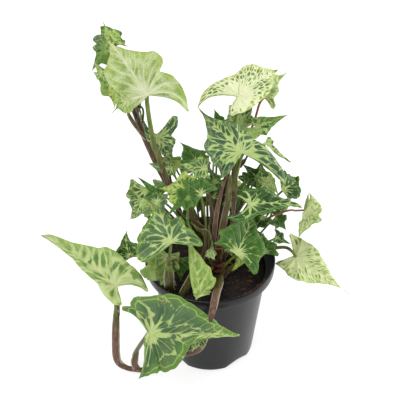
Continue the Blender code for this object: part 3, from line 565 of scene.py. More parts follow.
def half_outline(length, half_width, lobe, splay, shape, steps):
    """One half of the arrowhead: tip to shoulder, shoulder to lobe end, lobe end to the notch.

    The handles of all three curves turn one way round the stalk, so the outline never crosses itself.
    """
    tail = shape["tail"]
    lead = half_width * math.tan(math.radians(max(0.0, splay + SHOULDER_LEAD - 90.0)))
    shoulder = np.array([max(shape["shoulder"] * length, lead), half_width])
    turn = math.degrees(math.atan2(shoulder[1], -shoulder[0]))
    waist = behind(np.linalg.norm(shoulder) * (1 - shape["waist"]), turn - WAIST_TURN * (turn - splay))
    run = (shoulder - waist) / np.linalg.norm(shoulder - waist)
    run[1] = max(run[1], 0.0)
    side_handle = shoulder + SIDE_LEAD * (length - shoulder[0]) * run
    tip = np.array([length, 0.0])
    tip_handle = np.array([max((TIP_HANDLE[0] - TAIL_PULL[0] * tail) * length, side_handle[0]),
                           (TIP_HANDLE[1] - TAIL_PULL[1] * tail) * half_width])
    outer = behind(LOBE_FULLNESS * lobe, splay + min(LOBE_TURN[0] * (turn - splay), LOBE_TURN[1]))
    lobe_end = behind(lobe, splay)
    inner = behind(INNER_HANDLE[0] * lobe, INNER_HANDLE[1] * splay)
    notch_handle = behind(NOTCH_HANDLE[0] * lobe, NOTCH_HANDLE[1] * splay)
    return np.concatenate([
        bezier(tip, tip_handle, side_handle, shoulder, steps[0]),
        bezier(shoulder, waist, outer, lobe_end, steps[1]),
        bezier(lobe_end, inner, notch_handle, notch(length), steps[2])])


def set_horns(plan, flat):
    """Turn flat points round the stalk, most near it, not at the lobe ends, so that lobes curve back."""
    reach = np.hypot(flat[:, 0], flat[:, 1])
    turn = np.degrees(np.arctan2(np.abs(flat[:, 1]), -flat[:, 0]))
    left = flat[:, 1] >= 0
    lobe = np.where(left, *plan["lobes"])
    horn = np.where(left, *plan["shape"]["horns"])
    share = np.clip(turn / HORN_START, 0, 1) * np.clip((180 - turn) / HORN_FADE, 0, 1)
    turn = np.radians(turn + horn * share * np.clip(1 - (reach / lobe)**2, 0, 1))
    return np.stack([-reach * np.cos(turn), np.where(left, 1, -1) * reach * np.sin(turn)], axis=1)


def leaf_axes(aim):
    """Turn heading, rise and roll into the leaf's forward, left and up directions."""
    heading, rise, roll = (math.radians(value) for value in aim)
    reach = math.cos(rise)
    forward = np.array([reach * math.cos(heading), reach * math.sin(heading), math.sin(rise)])
    level = np.array([-math.sin(heading), math.cos(heading), 0.0])
    above = np.cross(forward, level)
    left = level * math.cos(roll) + above * math.sin(roll)
    up = above * math.cos(roll) - level * math.sin(roll)
    return forward, left, up


def bend_blade(plan, flat, lift):
    """Bend flat blade points: fold, cup, hook, sweep, arch and drooping lobes, then put in place."""
    length = plan["blade"][0]
    width = (plan["blade"][1] + plan["blade"][2]) / 2
    arch, fold = plan["bend"]
    u, v = flat[:, 0], flat[:, 1]
    soft = MIDRIB_SOFTNESS * width
    w = math.tan(math.radians(fold)) * (np.sqrt(v * v + soft * soft) - soft) + lift
    w = w + plan["shape"]["cup"] * width * (v / width)**4
    w = w - plan["shape"]["hook"] * length * np.clip((u / length - HOOK_START) / (1 - HOOK_START), 0, 1)**2
    v = v + plan["shape"]["sweep"] * length * np.clip(u / length, 0, 1)**2
    curvature = np.radians(np.where(u > 0, max(arch, LEAST_ARCH), LOBE_DROOP)) / length
    angle = curvature * u
    along = np.sin(angle) / curvature + w * np.sin(angle)
    height = (np.cos(angle) - 1) / curvature + w * np.cos(angle)
    forward, left, up = leaf_axes(plan["aim"])
    return plan["at"] + along[:, None] * forward + v[:, None] * left + height[:, None] * up


print("a blade bends out of its flat outline")

# %% [markdown]
# ## A blade that is woven along its veins
#
# Colour follows the veins on this plant. A picture of the veins would blur, so the blade's own grid is
# laid along them. One direction of the grid runs from the midrib or the stalk out to the margin, as a
# vein does, and the other crosses the veins. Each corner of the grid then knows which vein it is near and
# how far along it lies, and a material can draw the veins from those two numbers as sharply as it likes.

# %% Rays of a blade
VEIN_LEAN = 1.45
VEIN_SWING = 0.3
SWING_SHARE = 0.2
ROOT_END_SHARE = 0.95
FINENESS = ((50, 8, 20), (28, 5, 13), (0, 3, 8))
LANE_SHARE = 0.15
LANE_LEAST = 1.5
LANE_RING_SHARE = 0.6
UNIT_LANE = 8.0
RAGGED_WAVES = ((2.3, 0.012), (4.7, 0.012), (8.9, 0.008), (15.3, 0.006))
RAGGED_SMALL = 1.5
RAGGED_FADE = 8
LEFT, RIGHT, BOTH = (0,), (1,), (0, 1)
# How far the margin of some leaves lies from the usual outline: pairs of direction and share. Direction 0
# is the tip, 90 is sideways and 180 is the notch.
MARGINS = {
    ("leaf_trailing_1", LEFT): (
        (0, 1.0), (20, 1.07), (60, 1.06), (85, 1.1), (100, 1.25), (114, 1.28), (122, 1.12), (129, 0.96),
        (136, 1.0)),
    ("leaf_trailing_1", RIGHT): (
        (0, 1.0), (2, 0.85), (6, 0.68), (17, 0.73), (30, 0.8), (46, 0.86), (60, 0.92), (72, 1.03),
        (85, 1.0), (100, 1.0), (108, 0.62), (120, 0.42), (135, 0.5), (145, 0.75), (160, 1.0)),
    ("leaf_climber_1", LEFT): ((10, 1.0), (30, 1.04), (48, 0.94), (60, 1.0)),
    ("leaf_climber_1", RIGHT): (
        (8, 1.0), (15, 0.97), (28, 1.04), (40, 1.2), (56, 1.2), (66, 1.14), (78, 0.93), (92, 0.97),
        (104, 1.1), (118, 1.09), (135, 1.05), (150, 1.0)),
    ("leaf_right_1", RIGHT): ((0, 1.0), (8, 0.92), (30, 0.84), (60, 0.86), (90, 0.9), (120, 1.0)),
    ("leaf_right_5", LEFT): (
        (20, 1.0), (50, 0.96), (70, 1.05), (93, 1.0), (100, 0.85), (108, 0.5), (120, 0.4), (150, 0.6),
        (170, 1.0)),
    ("leaf_crown_8", BOTH): ((0, 1.0), (12, 0.8), (30, 0.5)),
    ("leaf_left_1", LEFT): (
        (10, 1.0), (24, 1.04), (38, 0.97), (56, 0.95), (68, 1.0), (77, 1.1), (84, 1.22), (90, 1.22),
        (95, 1.13), (98, 1.03), (103, 0.98), (111, 1.0)),
    ("leaf_left_1", RIGHT): (
        (5, 1.0), (10, 0.95), (18, 0.8), (26, 0.86), (36, 1.02), (50, 0.98), (66, 0.9), (80, 0.91),
        (90, 0.97), (100, 1.0), (110, 0.97)),
    ("leaf_left_5", BOTH): ((0, 1.1), (12, 0.85), (30, 0.75), (60, 1.0)),
    ("leaf_left_7", BOTH): ((0, 1.0), (12, 0.8), (30, 0.65), (60, 0.95)),
    ("leaf_climber_5", BOTH): ((0, 0.62), (15, 0.72), (40, 0.9), (60, 1.0)),
    ("leaf_front_1", RIGHT): (
        (20, 1.0), (33, 1.07), (43, 0.93), (53, 1.1), (62, 0.86), (71, 1.08), (81, 0.8), (92, 1.05),
        (104, 0.84), (118, 1.0)),
    ("leaf_crown_1", LEFT): (
        (10, 1.0), (20, 0.96), (40, 1.04), (60, 0.95), (80, 1.05), (95, 1.08), (110, 1.0)),
}
SMALL_BLADE = 36.0
SMALL_MARGIN = ((0, 1.0), (8, 0.9), (22, 0.8), (40, 0.88), (62, 1.0), (90, 0.95), (110, 1.04), (140, 1.0))


def ragged(count, draw):
    """A slightly uneven length for every ray: a few waves of random phase, gone at both ends."""
    share = np.linspace(0.0, 1.0, count)
    waves = sum(size * np.sin(math.tau * (turns * share + draw.random())) for turns, size in RAGGED_WAVES)
    return 1 + waves * np.minimum(1, RAGGED_FADE * share) * np.minimum(1, RAGGED_FADE * (1 - share))


def blade_rays(plan, draw):
    """Rays of both halves of a flat blade, as an array of side, ray, ring and (u, v), and how fine it is.

    Ray i starts at its root on the midrib, leaves it steeply and swings forwards to point i of the
    outline, as a quadratic curve. Rays behind the shoulder all start at the stalk.
    """
    length = plan["blade"][0]
    factor, rings = next((factor, rings) for least, factor, rings in FINENESS if length > least)
    steps = [factor * count for count in OUTLINE_STEPS]
    edge = np.stack([np.concatenate([half_outline(length, width, lobe, splay, plan["shape"], steps),
                                     [notch(length)]])
                     for width, lobe, splay in zip(plan["blade"][1:], plan["lobes"], plan["splay"])])
    mean = edge.mean(axis=0)
    small = length < SMALL_BLADE
    rough = RAGGED_SMALL if small else 1.0
    edge *= np.stack([1 + rough * (ragged(edge.shape[1], draw) - 1) for _ in range(2)])[..., None]
    for side in BOTH:
        direction = np.degrees(np.arctan2(edge[side, :, 1], edge[side, :, 0]))
        own = [shares for (name, sides), shares in MARGINS.items()
               if name == plan["name"] and side in sides]
        for shares in [SMALL_MARGIN] * small + own:
            edge[side] *= np.interp(direction, *zip(*shares))[:, None]
    root = np.clip(mean[:, 0] - VEIN_LEAN * mean[:, 1], 0.0, ROOT_END_SHARE * length)
    root = np.minimum.accumulate(root)
    start = np.stack([root, np.zeros(len(root))], axis=1)
    middle = (start + edge) / 2
    middle[..., 0] -= VEIN_SWING * edge[..., 1] * np.clip(root / (SWING_SHARE * length), 0.0, 1.0)
    t = np.linspace(0.0, 1.0, rings + 1)[:, None]
    rays = ((1 - t)**2 * start[:, None] + 2 * t * (1 - t) * middle[:, :, None] + t * t * edge[:, :, None])
    return rays, root, steps


def vein_numbers(plan, rays, steps):
    """Per corner: the lane, which is whole on each vein, the gap between lanes, and the ray's length."""
    rings = rays.shape[2]
    across = rays[:, :, round(LANE_RING_SHARE * (rings - 1))]
    stride = np.linalg.norm(np.diff(across, axis=1), axis=2)
    lane = np.concatenate([np.zeros((2, 1)), np.cumsum(stride, axis=1)], axis=1)
    spacing = LANE_SHARE * plan["blade"][0] + LANE_LEAST
    lane /= spacing
    lane -= lane[:, steps[0] + steps[1]][:, None]
    unit = spacing / UNIT_LANE
    gap = np.linalg.norm(np.gradient(rays, axis=1), axis=3) / np.gradient(lane, axis=1)[:, :, None] / unit
    span = np.linalg.norm(np.diff(rays, axis=2), axis=3).sum(axis=2)[:, :, None] / unit
    lane, span = (np.broadcast_to(part, gap.shape) for part in (lane[:, :, None], span))
    return lane, gap, span, unit


def blade_cells(rays, rings, fan):
    """Faces of one sheet as corner numbers, margin strips, and the point that each corner shares.

    A corner is counted by side, ray and ring. Rays from number fan on start at one point, the stalk.
    """
    side, ray, ring = np.meshgrid((0, 1), np.arange(rays - 1), np.arange(rings - 1), indexing="ij")
    cells = np.stack([(side * rays + ray + i) * rings + ring + j
                      for i, j in ((0, 0), (0, 1), (1, 1), (1, 0))], axis=-1)
    cells[1] = cells[1][..., ::-1]
    pointed = (ring == 0) & (ray >= fan)
    sheet = [cells[~pointed], cells[pointed][:, :3]]
    last = (np.arange(2)[:, None] * rays + np.arange(rays)) * rings + rings - 1
    margin = np.stack([last[:, 1:], last[:, :-1]], axis=-1)
    margin[1] = margin[1][..., ::-1]
    point = np.zeros((2, rays, rings), int)
    point[:, :, 0] = np.minimum(np.arange(rays), fan)
    rest = rings - 1
    point[:, 0, 1:] = fan + 1 + np.arange(rest)
    point[:, -1, 1:] = fan + 1 + rest + np.arange(rest)
    inner = 2 * (rays - 2) * rest
    point[:, 1:-1, 1:] = fan + 1 + 2 * rest + np.arange(inner).reshape(2, rays - 2, rest)
    return sheet, margin.reshape(-1, 2), point.ravel(), fan + 1 + 2 * rest + inner


print("a blade's grid runs along its veins")

# %% [markdown]
# ## Colours of the blades
#
# Look at one leaf closely. The green lies in islands between the veins, and the cream is what is left
# between the islands. On a green leaf the islands nearly touch, so only a fine net of cream is left. On a
# cream leaf they have shrunk to short dashes. So one rule makes all leaves: cells, long in the direction
# of the veins, show green where the distance from the cell's edge is more than a limit. The limit is high
# near the stalk, which leaves the cream star there, and it differs from leaf to leaf.
#
# Lengths in it are in units of an eighth of the space between two veins, so that a small leaf gets
# the pattern of a large one at its own scale.

# %% Leaf finishes
CREAM, BUTTER, LIME, NET = (224, 228, 186), (200, 207, 150), (186, 201, 138), (188, 204, 138)
SAGE, SHADE, MOSS, FRESH = (88, 116, 74), (58, 90, 60), (72, 102, 66), (94, 134, 52)
DEEP, DARKEST = (52, 92, 34), (32, 66, 26)
GLOW = paint(150, 180, 88)
UNDERSIDE = paint(122, 152, 74)
FRECKLE = paint(176, 122, 62)
# Noises over a blade: scale, detail and roughness
WANDER_NOISE = (0.1, 2.0)
PATCH_NOISE = (0.13, 2.0, 0.6)
FINE_NOISE = (1.1, 3.0, 0.65)
FEATHER_NOISE = (1.0, 2.0, 0.55)
FRECKLE_NOISE = (0.75, 1.0)
# Feathers are streaks along a vein: how many per lane, and per unit of length
FEATHER_FREQUENCY = (6.0, 0.22)
# How far the veins and the midrib wander from their lines
LANE_WANDER = 0.55
MIDRIB_WANDER = 1.2
RIM_WANDER = 3.0
# How far the cream of a vein and of the midrib reaches, and the place of the line along the margin
VEIN_REACH = 2.6
MIDRIB_REACH = 3.2
RIM_PLACE = 3.0
RIM_SCALLOP = 2.4
# Where one look starts to turn into another, and where it has: for the dark patches, the flecks, the green
# in the cream, the halo round an island, the line along the margin, the pale edge along the margin (the
# leaf's own light green there, and partly a painted highlight where light catches the margin), and the
# freckles
PATCH_STEP = (-0.14, 0.16)
FLECK_STEP = (0.05, 0.3)
HAZE_STEP = (-0.12, 0.16)
HALO_STEP = (-0.16, 0.02)
RIM_STEP = (0.12, 0.5)
PALE_EDGE_AND_HIGHLIGHT_STEP = (0.05, 0.55)
FRECKLE_STEP = (0.70, 0.76)
FRECKLE_PLACES = (0.02, 0.12)
# How strongly each is mixed in
FLECK_SHARE, MARGIN_SHARE, NET_SHARE, PALE_EDGE_AND_HIGHLIGHT_SHARE, FRECKLE_SHARE, BACK_SHARE = 0.3, 0.9, 0.8, 0.45, 0.7, 0.35
BLADE_ROUGHNESS = 0.42
BLADE_BUMP = (0.0006, 0.6)


def blade_finish(name, colours, cells, limit, star, vein, uneven=0.3, soft=0.1, hem=0.4, edge=4.0,
                 freckle=0.0, grain=0.0, haze=0.4):
    """A blade's finish.

    colours: the islands, their dark patches, their colour along the rim for a width of edge, and the cream.
    cells: islands across one lane, and along a vein per unit. limit: how far the cream reaches into an
    island. star: how much further it reaches at the stalk, and how far out. vein: half width of a vein.
    uneven: how much the limit wanders. soft: width of an island's edge. hem: strength of the line that
    follows the margin. freckle: share of small orange-brown spots. grain: how grainy an island's edge is.
    haze: how green the cream turns in places.
    """
    finish = Finish(name, Roughness=BLADE_ROUGHNESS, Specular_IOR_Level=0.3)
    between, mix = finish.between, finish.mix
    core, dark, margin, cream = (paint(*colour) for colour in colours)
    along, across = finish.parts(finish.map("flat"))[:2]
    lane, reach = finish.parts(finish.map("veins"))[:2]
    gap, span = finish.parts(finish.map("sizes"))[:2]
    strong, spread, back = (finish.attribute(title) for title in ("strong", "spread", "back"))
    place = finish.vector(along + finish.attribute("shift"), across)
    wander = finish.noise(place, *WANDER_NOISE) - 0.5
    patch = finish.noise(place, *PATCH_NOISE) - 0.5
    fine = finish.noise(place, *FINE_NOISE) - 0.5
    run = reach * span
    off_margin = (1.0 - reach) * span
    lane = lane + wander * LANE_WANDER + fine * 0.04
    beside = 0.5 - abs(lane.fraction() - 0.5)
    off_vein = beside * gap
    off_midrib = abs(across + wander * MIDRIB_WANDER)
    feather = finish.noise(finish.vector(lane * FEATHER_FREQUENCY[0], run * FEATHER_FREQUENCY[1]),
                           *FEATHER_NOISE) - 0.5
    depth = finish.cell_depth(finish.vector(lane * cells[0] + fine * 0.25, run * cells[1] + feather * 0.5))

    # The islands: green where a place lies deeper in its cell than the cream reaches in
    away = (along * along + across * across) ** 0.5
    near_stalk = 1.0 - between(away, 0.0, star[1])
    near_midrib = 1.0 - between(off_midrib, 0.0, MIDRIB_REACH)
    near_vein = (1.0 - between(off_vein, 0.0, VEIN_REACH)).larger(near_midrib)
    reach_in = near_stalk * star[0] + near_vein * (1.0 - reach) * strong * 0.2 + spread + limit
    reach_in = reach_in + (patch * 1.6 + feather * 0.9) * uneven
    inside = depth - reach_in + fine * grain
    island = between(inside, 0.0, soft)
    ground = mix(between(patch + fine * 0.5, *PATCH_STEP), dark, core)
    ground = mix((1.0 - between(off_margin + patch * 8.0, 0.5, edge)) * MARGIN_SHARE, ground, margin)
    ground = mix(between(fine, *FLECK_STEP) * FLECK_SHARE, ground, GLOW)
    cream = mix(between(patch + feather * 0.35, *HAZE_STEP) * haze, cream, GLOW)
    colour = mix(between(inside, *HALO_STEP), cream, mix(0.5, cream, GLOW))
    colour = mix(island, colour, ground)

    # The veins: a line in the middle of each lane's edge, the midrib, and the line that follows the margin
    width = (1.0 - reach * 0.6) * strong * vein * (1.0 + fine * 1.4 + patch)
    line = 1.0 - between(off_vein, width * 0.25, width)
    midrib = 1.0 - between(off_midrib, vein * 0.3, (1.0 - reach * 0.3) * vein * 1.5)
    rim = abs(off_margin - RIM_PLACE + beside * RIM_SCALLOP + wander * RIM_WANDER)
    net = line.larger(midrib).larger((1.0 - between(rim, *RIM_STEP)) * hem)
    colour = mix(net * NET_SHARE, colour, cream)
    # The pale edge along the margin: the leaf's own light green there, and partly a painted highlight where
    # light catches the margin
    colour = mix((1.0 - between(off_margin, *PALE_EDGE_AND_HIGHLIGHT_STEP)) * PALE_EDGE_AND_HIGHLIGHT_SHARE, colour, GLOW)
    if freckle:
        spots = between(finish.noise(place, *FRECKLE_NOISE), *(value - freckle for value in FRECKLE_STEP))
        colour = mix(spots * between(patch, *FRECKLE_PLACES) * FRECKLE_SHARE, colour, FRECKLE)
    colour = mix(back, colour, mix(BACK_SHARE, mix(net * 0.5, UNDERSIDE, paint(*LIME)), colour))
    finish.feed("Base Color", colour)
    finish.feed("Roughness", fine * 0.2 + BLADE_ROUGHNESS)
    finish.bump(off_vein * 0.3 - net * 0.35 + fine * 0.3 - island * 0.1, *BLADE_BUMP)
    return finish.material


# One row for each finish: its colours, cells, limit, star and vein, and what differs from the usual
BLADE_ROWS = {
    "clouded": (((150, 171, 88), (118, 147, 70), (150, 172, 74), (210, 213, 178)), (0.9, 0.07), -0.06,
                (0.34, 18.0), 0.8, dict(uneven=0.5, soft=0.42, hem=0.25, edge=7.0, grain=1.1, haze=0.2)),
    "dashed": (((120, 146, 62), (88, 120, 54), (188, 196, 80), CREAM), (2.7, 0.22), 0.15,
               (0.5, 17.0), 0.3, dict(uneven=0.34, soft=0.06, hem=0.0, edge=3.5, haze=0.2)),
    "lime": (((64, 96, 64), (54, 85, 60), SAGE, LIME), (1.9, 0.11), -0.01,
             (0.22, 18.0), 0.45, dict(uneven=0.38, soft=0.12, hem=0.35, haze=0.3)),
    "netted": ((SAGE, MOSS, FRESH, NET), (1.1, 0.09), -0.02,
               (0.24, 10.0), 0.3, dict(uneven=0.16, soft=0.05, hem=0.6, edge=7.0, freckle=0.08)),
    "webbed": ((SAGE, MOSS, FRESH, NET), (0.72, 0.06), 0.005,
               (0.22, 12.0), 0.4, dict(uneven=0.14, soft=0.05, hem=0.6, edge=7.0, haze=0.12)),
    "pale": (((142, 170, 86), (110, 142, 74), (152, 180, 84), BUTTER), (1.2, 0.1), -0.01,
             (0.24, 13.0), 0.4, dict(uneven=0.26, soft=0.14, hem=0.5, haze=0.25)),
    "quilted": (((146, 176, 84), (124, 156, 68), (160, 188, 90), (204, 218, 148)), (1.3, 0.12), -0.04,
                (0.2, 12.0), 0.4, dict(uneven=0.24, soft=0.16)),
    "streaked": (((118, 146, 66), (96, 128, 62), (152, 178, 82), (212, 219, 164)), (4.0, 0.16), 0.1,
                 (0.4, 14.0), 0.35, dict(uneven=0.34, soft=0.14, hem=0.15, haze=0.15)),
    "laced": (((118, 150, 74), (94, 130, 64), (140, 170, 78), (200, 210, 152)), (1.7, 0.1), 0.05,
              (0.26, 12.0), 0.45, dict(uneven=0.34, soft=0.14, haze=0.3)),
    "starred": (((68, 108, 36), (48, 86, 30), (78, 120, 44), LIME), (1.6, 0.09), -0.13,
                (0.5, 11.0), 0.25, dict(uneven=0.2, soft=0.06, hem=0.1)),
    "veined": ((DEEP, DARKEST, (62, 106, 38), NET), (1.0, 0.08), -0.07,
               (0.3, 9.0), 0.3, dict(uneven=0.16, soft=0.05)),
    "sage": ((SAGE, SHADE, (80, 116, 56), LIME), (1.4, 0.09), -0.03,
             (0.32, 14.0), 0.4, dict(uneven=0.28, soft=0.07, hem=0.5)),
    "golden": (((128, 158, 54), (64, 104, 42), (150, 174, 66), (186, 200, 108)), (1.5, 0.1), 0.05,
               (0.3, 18.0), 0.42, dict(uneven=0.4)),
    "plain": (((66, 108, 34), (46, 84, 30), (76, 120, 42), (128, 160, 70)), (1.4, 0.08), -0.3,
              (0.45, 8.0), 0.22, dict(uneven=0.12, hem=0.2)),
    "fresh": (((84, 126, 42), DEEP, (106, 146, 56), LIME), (1.3, 0.09), -0.02,
              (0.3, 16.0), 0.4, dict(soft=0.08)),
}
BLADES = {name: blade_finish(name + "_leaf", *row, **more) for name, (*row, more) in BLADE_ROWS.items()}
print(len(BLADES), "leaf finishes")

# %% [markdown]
# ## How each leaf looks
#
# Some leaves of the plant are nearly all cream and some are nearly all green. Here each finish lists the
# leaves that wear it, and how far the cream of each spreads. Other leaves take the usual looks of their
# tone in turn.

# %% Looks of the leaves
USUAL_LOOK = {
    PALE: [("pale", 0.0), ("lime", 0.0)],
    MIXED: [("fresh", 0.0), ("sage", 0.02), ("golden", -0.06)],
    DARK: [("veined", 0.0), ("plain", 0.0), ("veined", -0.04), ("sage", -0.04), ("starred", -0.04)]}
LOOKS = {
    "clouded": {"leaf_climber_1": 0.0},
    "sage": {"leaf_climber_2": 0.02, "leaf_crown_8": 0.0, "leaf_left_3": 0.0, "leaf_left_6": -0.06,
             "fill_22": 0.03},
    "plain": {"leaf_climber_3": 0.0, "leaf_climber_6": 0.0, "leaf_crown_5": 0.05, "leaf_crown_9": 0.05,
              "leaf_left_5": 0.0, "leaf_left_7": 0.1, "leaf_front_3": 0.1},
    "golden": {"leaf_climber_4": 0.0, "leaf_left_2": 0.08, "fill_34": 0.05, "fill_1": -0.02},
    "pale": {"leaf_climber_5": 0.0, "leaf_crown_3": 0.05, "leaf_crown_7": -0.05, "leaf_front_2": -0.05,
             "fill_35": 0.0, "fill_14": -0.12},
    "lime": {"leaf_climber_7": -0.02, "leaf_crown_1": 0.0, "leaf_crown_4": 0.09},
    "dashed": {"leaf_crown_2": 0.0},
    "fresh": {"leaf_crown_6": -0.06, "fill_33": -0.05, "fill_5": -0.05, "fill_26": -0.08, "fill_28": -0.1},
    "starred": {"leaf_crown_11": -0.12, "leaf_right_5": 0.06, "leaf_right_6": 0.04, "leaf_left_4": -0.1},
    "netted": {"leaf_crown_12": 0.06, "leaf_left_8": 0.1, "leaf_trailing_1": 0.0, "fill_15": 0.08},
    "veined": {"leaf_right_1": 0.04, "leaf_right_2": 0.05, "leaf_left_9": 0.05},
    "streaked": {"leaf_right_3": 0.0, "leaf_right_4": 0.07},
    "webbed": {"leaf_left_1": 0.0},
    "quilted": {"leaf_front_1": 0.0, "fill_30": 0.0, "fill_31": -0.02, "fill_3": 0.0},
    "laced": {"leaf_trailing_2": 0.0},
}
LOOK_OF = {name: (look, spread) for look, row in LOOKS.items() for name, spread in row.items()}
print(len(LOOK_OF), "leaves have a look of their own")

# %% [markdown]
# ## Growing a blade
#
# The flat grid gets its waves and its bend, and the quilting between the veins that catches the light on
# a real leaf. The same grid, moved down by the blade's thickness, is its back, and a strip joins both.

# %% Make the blades
BLADE_THICKNESS = 0.5
QUILT = 0.16
RIPPLE = 0.018
RIPPLES = ((5, 1.2), (9, 0.8), (15, 0.5), (23, 0.3))
CURL = 0.05
EDGE_START = 3
QUILT_GAP = 10
QUILT_SKEW = 0.8
SMALL_CURL = 2.6
SMALL_FOLD = 13.0
# How much the sweep, hook and arch of small blades differ, the angle that each moves on, and its start
SMALL_VARIETY = {"sweep": (0.2, 2.3, 0.0), "hook": (0.16, 1.3, 1.0), "arch": (12.0, 1.7, 0.0)}
STRONG_RAYS = 2.5
STRONG_VEIN = 0.8
# Whole numbers, so that the two halves of a blade get different islands on the same veins
LANE_SHIFTS = np.array([0.0, 71.0])
PLACE_SHIFT = 67.0


def blade_lift(plan, flat, lane, gap, unit, draw):
    """Height over the flat blade: slow waves round it, ripples and a curl at the margin, and quilting."""
    length = plan["blade"][0]
    t = np.linspace(0.0, 1.0, flat.shape[2])
    around = np.arange(flat.shape[1])[:, None] / (2 * (flat.shape[1] - 1))
    around = np.stack([around, 1 - around])
    from_stalk = np.linalg.norm(flat, axis=3)
    wave = WAVE * from_stalk * t * np.sin(math.tau * WAVES_AROUND * around + plan["number"])
    ripple = sum(share * np.sin(math.tau * (count * around + draw.random())) for count, share in RIPPLES)
    curl = CURL * np.sin(math.tau * (2 * around + draw.random())) * t**4
    size = SMALL_CURL if length < SMALL_BLADE else 1.0
    edge = (RIPPLE * ripple * t**3 + curl * size) * length * np.minimum(1, EDGE_START * from_stalk / length)
    puff = np.sin(np.pi * lane)**2 * np.sin(np.pi * t**QUILT_SKEW)
    return wave + edge + QUILT * np.minimum(gap, QUILT_GAP) * unit * puff


def make_blade(plan):
    """One blade, closed, with the numbers and maps that its finish reads."""
    number = plan["number"]
    draw = np.random.default_rng(number)
    if plan["blade"][0] < SMALL_BLADE:
        more = {title: most * math.sin(step * number + start)
                for title, (most, step, start) in SMALL_VARIETY.items()}
        arch, fold = plan["bend"]
        plan = {**plan, "bend": (arch + more.pop("arch"), fold + SMALL_FOLD)}
        plan["shape"] = {**plan["shape"], **{title: plan["shape"][title] + more[title] for title in more}}
    flat, root, steps = blade_rays(plan, draw)
    lane, gap, span, unit = vein_numbers(plan, flat, steps)
    flat[1, ..., 1] *= -1
    sheet, margin, point, count = blade_cells(flat.shape[1], flat.shape[2], int(np.argmax(root <= 0)))
    lift = blade_lift(plan, flat, lane, gap, unit, draw)

    def on_points(values):
        result = np.zeros(count)
        result[point] = np.asarray(values).ravel()
        return result

    place = set_horns(plan, flat.reshape(-1, 2))
    bent = np.stack([on_points(place[:, 0]), on_points(place[:, 1])], axis=1)
    lift = on_points(lift)
    half = BLADE_THICKNESS / 2 / math.cos(math.radians(plan["bend"][1]))
    points = np.concatenate([bend_blade(plan, bent, lift + half), bend_blade(plan, bent, lift - half)])
    inner, outer = margin[:, 0], margin[:, 1]
    faces = [point[part] for part in sheet] + [count + point[part[:, ::-1]] for part in sheet]
    faces.append(np.stack([point[inner], point[outer], count + point[outer], count + point[inner]], axis=1))
    corners = [part.ravel() for part in sheet] + [part[:, ::-1].ravel() for part in sheet]
    corners = np.concatenate(corners + [np.stack([inner, outer, outer, inner], axis=1).ravel()])
    reach = np.broadcast_to(np.linspace(0.0, 1.0, flat.shape[2]), lane.shape)
    lane = lane + LANE_SHIFTS[:, None, None] + number
    maps = {"flat": flat.reshape(-1, 2) / unit, "veins": np.stack([lane, reach], axis=-1).reshape(-1, 2),
            "sizes": np.stack([gap, span], axis=-1).reshape(-1, 2)}
    ray = np.arange(flat.shape[1])
    main = np.exp(-((ray - steps[0] - steps[1]) / (STRONG_RAYS * steps[2] / 3))**2)
    strong = np.broadcast_to((1 + STRONG_VEIN * main)[:, None], lane.shape)
    usual = USUAL_LOOK[plan["tone"]]
    finish, spread = LOOK_OF.get(plan["name"], usual[number % len(usual)])
    numbers = {"strong": np.tile(on_points(strong), 2), "spread": np.full(2 * count, spread),
               "back": np.repeat([0.0, 1.0], count), "shift": np.full(2 * count, PLACE_SHIFT * number)}
    item = make_piece(plan["name"] + "_blade", points, faces, [BLADES[finish]], numbers,
                      {title: values[corners] for title, values in maps.items()})
    if plan["name"].startswith("leaf_"):
        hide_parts(plan["name"])
    return triangle_count(faces)


total = sum(make_blade(plan) for plan in LEAVES.values())
print(len(LEAVES), "blades,", total, "triangles")

# %% [markdown]
# ## Stems and leaf stalks
#
# A stalk of this plant is a thin green tube near its blade. Its foot is wrapped in a husk: a wide brown
# flap with pale edges, which makes the bundle in the pot look much denser than the tubes alone would.
# Both are one surface here. A closed oval is carried along the stalk's path, and where the husk is, the
# oval grows wide and bends backwards at its edges. The stems themselves are made in the same way. The vine
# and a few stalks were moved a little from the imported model's paths, towards those of the photograph.

# %% The stems, written down
ROOT_END = 80.0
STEMS = {
    "stem_climber": (3.2, 2.4, [
        (-14, 10, 98), (-20, 13, 120), (-33, 19, 162), (-50, 26, 202), (-62, 31, 235), (-70, 36, 262)]),
    "stem_crown": (7.0, 5.5, [(0, 0, 98), (0, 0, 106)]),
    "stem_right": (3.4, 2.8, [(24, 6, 98), (25, 6, 106)]),
    "stem_right_low": (2.4, 2.2, [(12, -13, 97), (16, -11, 101), (24, -6, 103)]),
    "stem_left": (3.0, 2.2, [(-35, -34, 96), (-36.5, -39, 108), (-36.5, -44, 124), (-36, -45, 138)]),
    "stem_front": (2.8, 2.2, [(-25, -38, 96), (-20, -35, 107), (-14, -29, 116), (-9, -24, 121)]),
    "stem_trailing": (2.6, 2.4, [
        (8, -18, 97), (10, -26, 106), (8, -40, 110), (5.5, -53, 112.5), (4, -62, 111), (1.5, -68, 102),
        (-2, -68.5, 86), (-5.5, -67, 67), (-10, -65, 54), (-20, -63, 46), (-34, -59, 39), (-48, -53, 22),
        (-61, -47, 8), (-71, -43, 4), (-79, -41, 4.2), (-86, -39, 8), (-88.5, -38, 18), (-88, -33, 44),
        (-86, -26, 72)]),
}
# Husks on a stem: where along it one starts and stops, and its half width
HUSKS = {
    "stem_left": [(56, 10, 4.7)], "stem_front": [(16, 46, 3.6)], "stem_climber": [(112, 168, 2.9)],
    "stem_right_low": [(14, 30, 3.0)], "stem_trailing": [(36, 84, 3.5), (100, 150, 3.0), (222, 290, 4.0)]}
OLD_STEMS = {"stem_climber": 1.0}
